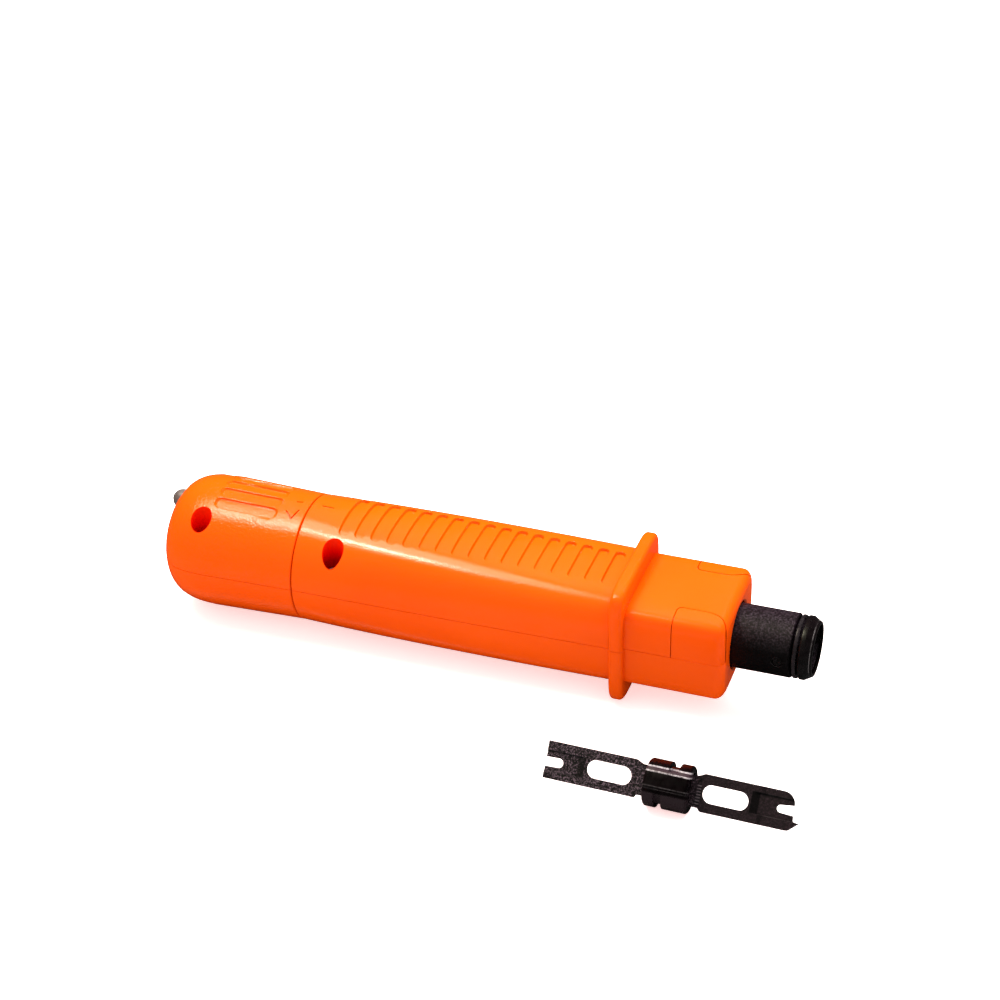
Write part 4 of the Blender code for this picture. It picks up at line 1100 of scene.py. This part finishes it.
# ----------------------------------------------------------------- nozzle ----
# (x, radius); for the pins (distance from the axis, radius)
BARREL_PROFILE = [(120.0, 0.0), (121.0, 4.4), (121.6, 5.4), (150.5, 5.4), (150.5, 6.0),
                  (146.75, 6.0), (146.75, 6.75), (146.45, 7.15), (111.3, 7.15), (111.0, 8.8),
                  (109.2, 8.8), (109.2, 2.75), (114.0, 2.75), (114.0, 0.0)]
PIN_HOLE = [(4.0, 0.0), (4.0, 1.22), (9.0, 1.25), (9.0, 0.0)]
PIN_PROFILE = [(4.45, 0.0), (4.45, 0.8), (4.65, 1.05), (6.75, 1.12), (6.93, 1.02),
               (7.0, 0.85), (6.98, 0.62), (6.86, 0.42), (6.76, 0.2), (6.74, 0.0)]
STRIKER_PROFILE = [(103.4, 0.0), (103.4, 1.9), (103.9, 2.4), (113.7, 2.4), (113.7, 0.0)]
RING_PROFILE = [(147.15, 6.3), (147.15, 7.05), (147.95, 7.05), (147.95, 6.3)]


def sideways(profile, side):
    return [(side * along, r) for along, r in profile]


barrel = to_object("nozzle_barrel_fine", turned(filleted(BARREL_PROFILE, 0.12), 96))
carve(barrel, [turned(sideways(PIN_HOLE, side), 40, (BAYONET_X, 0.0), "Y") for side in (-1, 1)])
stands_for(barrel, "nozzle_barrel", "nozzle", SAND)
for name, side in (("right", -1), ("left", 1)):
    turned_part("bayonet_pin_" + name, "nozzle", OXIDE, sideways(PIN_PROFILE, side), 40,
                (BAYONET_X, 0.0), "Y", smooth_deg=50.0)
turned_part("striker_pin", "nozzle", HAMMER, filleted(STRIKER_PROFILE, 0.25), 56)
turned_part("retaining_ring", "nozzle", OILED, filleted(RING_PROFILE, 0.22, steps=5), 96,
            smooth_deg=50.0)
tip = box_mm("lock_collar")[1].x
turned_part("lock_collar", "nozzle", OXIDE, filleted(
    [(148.35, 6.35), (148.35, 6.82), (148.6, 7.1), (149.55, 7.1), (tip, 6.05), (tip, 5.47),
     (150.85, 5.47), (150.85, 6.35)], 0.07), 96)


# ------------------------------------------------------------- loose blade ----
# Built flat round the origin, along X with its face to +Z, then posed.
def pose_blade(ob):
    ob.data.transform(Matrix.Scale(MM, 4) @ POSE @ Matrix.Scale(1 / MM, 4))
    ob.data.update()


def arc(x, y, r, start, end, steps):
    """Points of an arc between two angles in degrees."""
    turns = [math.radians(start + (end - start) * k / steps) for k in range(steps + 1)]
    return [(x + r * math.cos(t), y + r * math.sin(t)) for t in turns]


def blade_outline():
    """Plan (x, y) with a round bay in each end, a waist and a hooked front corner."""
    end, half = BLADE_LEN / 2, BLADE_W / 2
    waist = half - 0.7
    return [
        (-end, -half), (-end, -1.45),
        *arc(-end + 2.85, -0.36, 1.0, -90, 90, 10), (-end, 0.55), (-end, half),
        (-7.7, half), (-7.3, half - 0.08), (-6.9, half - 0.3), (-6.3, waist + 0.12),
        (-5.8, waist), (4.0, waist), (5.4, waist), (6.2, waist + 0.15), (6.9, half - 0.25),
        (7.3, half), *arc(end - 2.8, half - 2.6, 2.6, 90, 10, 8),
        (end - 0.2, 1.36), *arc(end - 2.95, 0.22, 0.80, 90, 270, 10),
        (end - 0.15, -0.74), (end - 0.05, -1.7), (end + 0.05, -1.9), (end + 1.3, -2.07),
        (end - 0.45, -3.65), (end - 0.75, -half + 0.08), (end - 1.3, -half),
        (7.8, -half), (7.4, -half + 0.12), (6.9, -waist), (-5.9, -waist), (-6.5, -half + 0.5),
        (-6.75, -half)]


def window(x0, x1, half):
    """Round-ended slot through the plate."""
    return prism(arc(x0 + half, 0.0, half, 90, 270, 14) + arc(x1 - half, 0.0, half, -90, 90, 14),
                 -3, 3)


def tip_cut(end_x, low_x, high_x, low_z, y0, y1):
    """Cuts the face down to low_z from the tip to low_x, then ramps up to high_x."""
    return prism([(end_x, low_z), (low_x, low_z), (high_x, 0.64), (high_x, 3.0), (end_x, 3.0)],
                 y0, y1, "Y")


plate = to_object("blade_plate_fine", prism(blade_outline(), -BLADE_T / 2, BLADE_T / 2), 30.0)
carve(plate, [window(-17.8, -7.9, 1.95), window(7.3, 17.2, 1.93)], smooth_deg=30.0)
# stepped-down tips with a deeper wire channel between the prongs
carve(plate, [tip_cut(-30, -20.5, -19.2, 0.38, -6, 6), tip_cut(30, 20.4, 19.2, 0.38, -6, 6)],
      smooth_deg=30.0)
carve(plate, [tip_cut(-30, -19.7, -18.0, 0.14, -2.35, 2.05),
              tip_cut(30, 19.3, 17.55, 0.14, -1.9, 2.65)], smooth_deg=30.0)
# a short comb of stamped ridges and a dimple beside the collar
for k in range(7):
    y = COMB_TOP - COMB_PITCH * k
    carve(plate, [box(6.25, 7.1, y - 0.13, y + 0.13, 0.4, 0.76)], "UNION", 30.0)
carve(plate, [rod(0.35, 2.0, 0.42, 16, (6.7, 2.35))], smooth_deg=30.0)
soften(plate, width=0.09, angle=40.0)
plate.data.set_sharp_from_angle(angle=math.radians(12.0))
pose_blade(plate)
stands_for(plate, "blade_plate", "blade", BLADE)

COLLAR_FLATS = (46.1, 60.3, 96.2, 112.7)       # corner angles of the face's flat and facets
COLLAR_RINGS = ((-4.4, 0.93), (-4.05, 1.0), (4.65, 1.0), (5.0, 0.93))   # x, scale


def collar_section():
    """Round section with a flat and a facet on each side of it, front and back."""
    angles = set()
    flats = []
    for turn in (0.0, 180.0):
        corners = [corner + turn for corner in COLLAR_FLATS]
        angles.update(corners)
        flats += zip(corners[:-1], corners[1:])
    for i in range(120):
        angle = 3.0 * i
        if not any(start - 1.0 < angle < end + 1.0 for start, end in flats):
            angles.add(angle)
    return [(BLADE_COLLAR_R * math.cos(math.radians(angle)),
             BLADE_COLLAR_R * math.sin(math.radians(angle))) for angle in sorted(angles)]


def sector(x0, x1, r0, r1, start, end, steps):
    """Part of a tube round the blade's length, angles from +Y toward +Z."""
    rings = []
    for k in range(steps + 1):
        t = math.radians(start + (end - start) * k / steps)
        c, s = math.cos(t), math.sin(t)
        rings.append([(x0, r0 * c, r0 * s), (x0, r1 * c, r1 * s), (x1, r1 * c, r1 * s),
                      (x1, r0 * c, r0 * s)])
    return ring_solid(rings)


collar = to_object("blade_collar_fine", ring_solid(
    [[(x, y * k, z * k) for y, z in collar_section()] for x, k in COLLAR_RINGS]), 12.0)
carve(collar, [sector(-1.85, -0.3, 4.15, 7.0, 113.0, 247.0, 30),
               sector(0.3, 2.35, 4.1, 7.0, -52.0, 52.0, 24)], smooth_deg=12.0)
plate_slot = box(-8, 8, -3.6, 3.6, -BLADE_T / 2 - 0.12, BLADE_T / 2 + 0.12)
carve(collar, [plate_slot], smooth_deg=12.0)
soften(collar, width=0.12, angle=11.0)
pose_blade(collar)
stands_for(collar, "blade_collar", "blade", BLADE_COLLAR)

# ------------------------------------------------------------------- stage ----
# From here on lengths are metres.
FLOOR_Z = cad_lo.z - 0.00002
FLOOR_TONE = 0.95
FLOOR_BOUNCE, FLOOR_MIRROR = 0.68, 0.02        # floor tone in bounced and mirrored rays
FLOOR_LIFT = 0.80                              # glow seen by the camera only
SKY_DIFFUSE, SKY_MIRROR = 0.98, 0.015          # sky strength in bounced and mirrored rays


def pale_floor():
    """High-key table: white to the lens, calmer where it is bounced or mirrored."""
    material = bpy.data.materials.new("pale_floor")
    material.use_nodes = True
    tree = material.node_tree
    rays = add_node(tree, "ShaderNodeLightPath").outputs
    bounced = add_node(tree, "ShaderNodeMix", {
        0: rays["Is Diffuse Ray"], 6: (FLOOR_TONE,) * 3, 7: (FLOOR_BOUNCE,) * 3},
        data_type="RGBA")
    mirrored = add_node(tree, "ShaderNodeMix", {
        0: rays["Is Glossy Ray"], 6: bounced.outputs[2], 7: (FLOOR_MIRROR,) * 3},
        data_type="RGBA")
    lift = add_node(tree, "ShaderNodeMath", {0: rays["Is Camera Ray"], 1: FLOOR_LIFT},
                    operation="MULTIPLY")
    sockets = {"Roughness": 0.22, "Specular IOR Level": 0.3, "Base Color": mirrored.outputs[2],
               "Emission Color": (1.0, 0.685, 0.665), "Emission Strength": lift.outputs[0]}
    for key, value in sockets.items():
        put(tree, value, tree.nodes["Principled BSDF"].inputs[key])
    return material


scene = bpy.context.scene
bm = bmesh.new()
bmesh.ops.create_grid(bm, x_segments=1, y_segments=1, size=3.0)
floor_mesh = bpy.data.meshes.new("floor")
bm.to_mesh(floor_mesh)
bm.free()
floor = bpy.data.objects.new("floor", floor_mesh)
floor.location = (0.07, 0.0, FLOOR_Z)
scene.collection.objects.link(floor)
floor.data.materials.append(pale_floor())

# white sky, nearly black where it is mirrored
world = bpy.data.worlds.new("studio")
scene.world = world
world.use_nodes = True
sky = world.node_tree
rays = add_node(sky, "ShaderNodeLightPath").outputs
seen = add_node(sky, "ShaderNodeMix", {0: rays["Is Camera Ray"], 2: SKY_DIFFUSE, 3: 1.0},
                data_type="FLOAT")
strength = add_node(sky, "ShaderNodeMix", {
    0: rays["Is Glossy Ray"], 2: seen.outputs[0], 3: SKY_MIRROR}, data_type="FLOAT")
background = sky.nodes["Background"]
put(sky, (1.0, 1.0, 1.0), background.inputs[0])
put(sky, strength.outputs[0], background.inputs[1])
world.cycles.sampling_method = "NONE"          # so that mirrored rays really see SKY_MIRROR
scene.view_settings.view_transform = "Standard"
scene.view_settings.look = "None"
scene.view_settings.exposure = 0.0


def area(name, at, look, watts, size, size_y=None, mirrored=True, tint=(1.0, 1.0, 1.0)):
    """Rectangular area light, or a disk when size_y is left out."""
    light = bpy.data.lights.new(name, "AREA")
    light.shape = "RECTANGLE" if size_y else "DISK"
    light.size = size
    if size_y:
        light.size_y = size_y
    light.energy = watts
    light.color = tint
    ob = bpy.data.objects.new(name, light)
    scene.collection.objects.link(ob)
    ob.location = at
    ob.rotation_mode = "QUATERNION"
    ob.rotation_quaternion = (Vector(look) - Vector(at)).to_track_quat("-Z", "Y")
    ob.visible_glossy = mirrored


# broad key from the +Y side, kept out of reflections, and a round softbox with a
# brighter core above the end cap
area("back_key", at=(0.10, 0.54, 0.76), look=(0.08, 0.0, 0.0), watts=22.5,
     size=1.1, size_y=0.6, mirrored=False)
area("round_softbox", at=(-0.195, 0.0, 0.60), look=(0.05, 0.0, 0.0), watts=2.0,
     size=0.33, tint=(1.0, 0.95, 0.66))
area("softbox_core", at=(-0.165, -0.07, 0.60), look=(0.05, 0.0, 0.0), watts=0.60,
     size=0.07, tint=(1.0, 0.95, 0.80))

# ------------------------------------------------------------------ camera ----
CAMERA_AT = (0.23111, -0.40808, 0.31203)
CAMERA_RIGHT, CAMERA_BACK = (0.9426, 0.3329, -0.0250), (0.2909, -0.7821, 0.5511)

camera_data = bpy.data.cameras.new("camera")
camera = bpy.data.objects.new("camera", camera_data)
scene.collection.objects.link(camera)
scene.camera = camera
camera_data.sensor_width = 36.0
camera_data.lens = 85.9
camera_data.clip_start = 0.02
camera_data.clip_end = 20.0
back = Vector(CAMERA_BACK).normalized()
up = back.cross(Vector(CAMERA_RIGHT).normalized()).normalized()
right = up.cross(back).normalized()
turn = Matrix((right, up, back)).transposed().to_4x4()
camera.matrix_world = Matrix.Translation(CAMERA_AT) @ turn
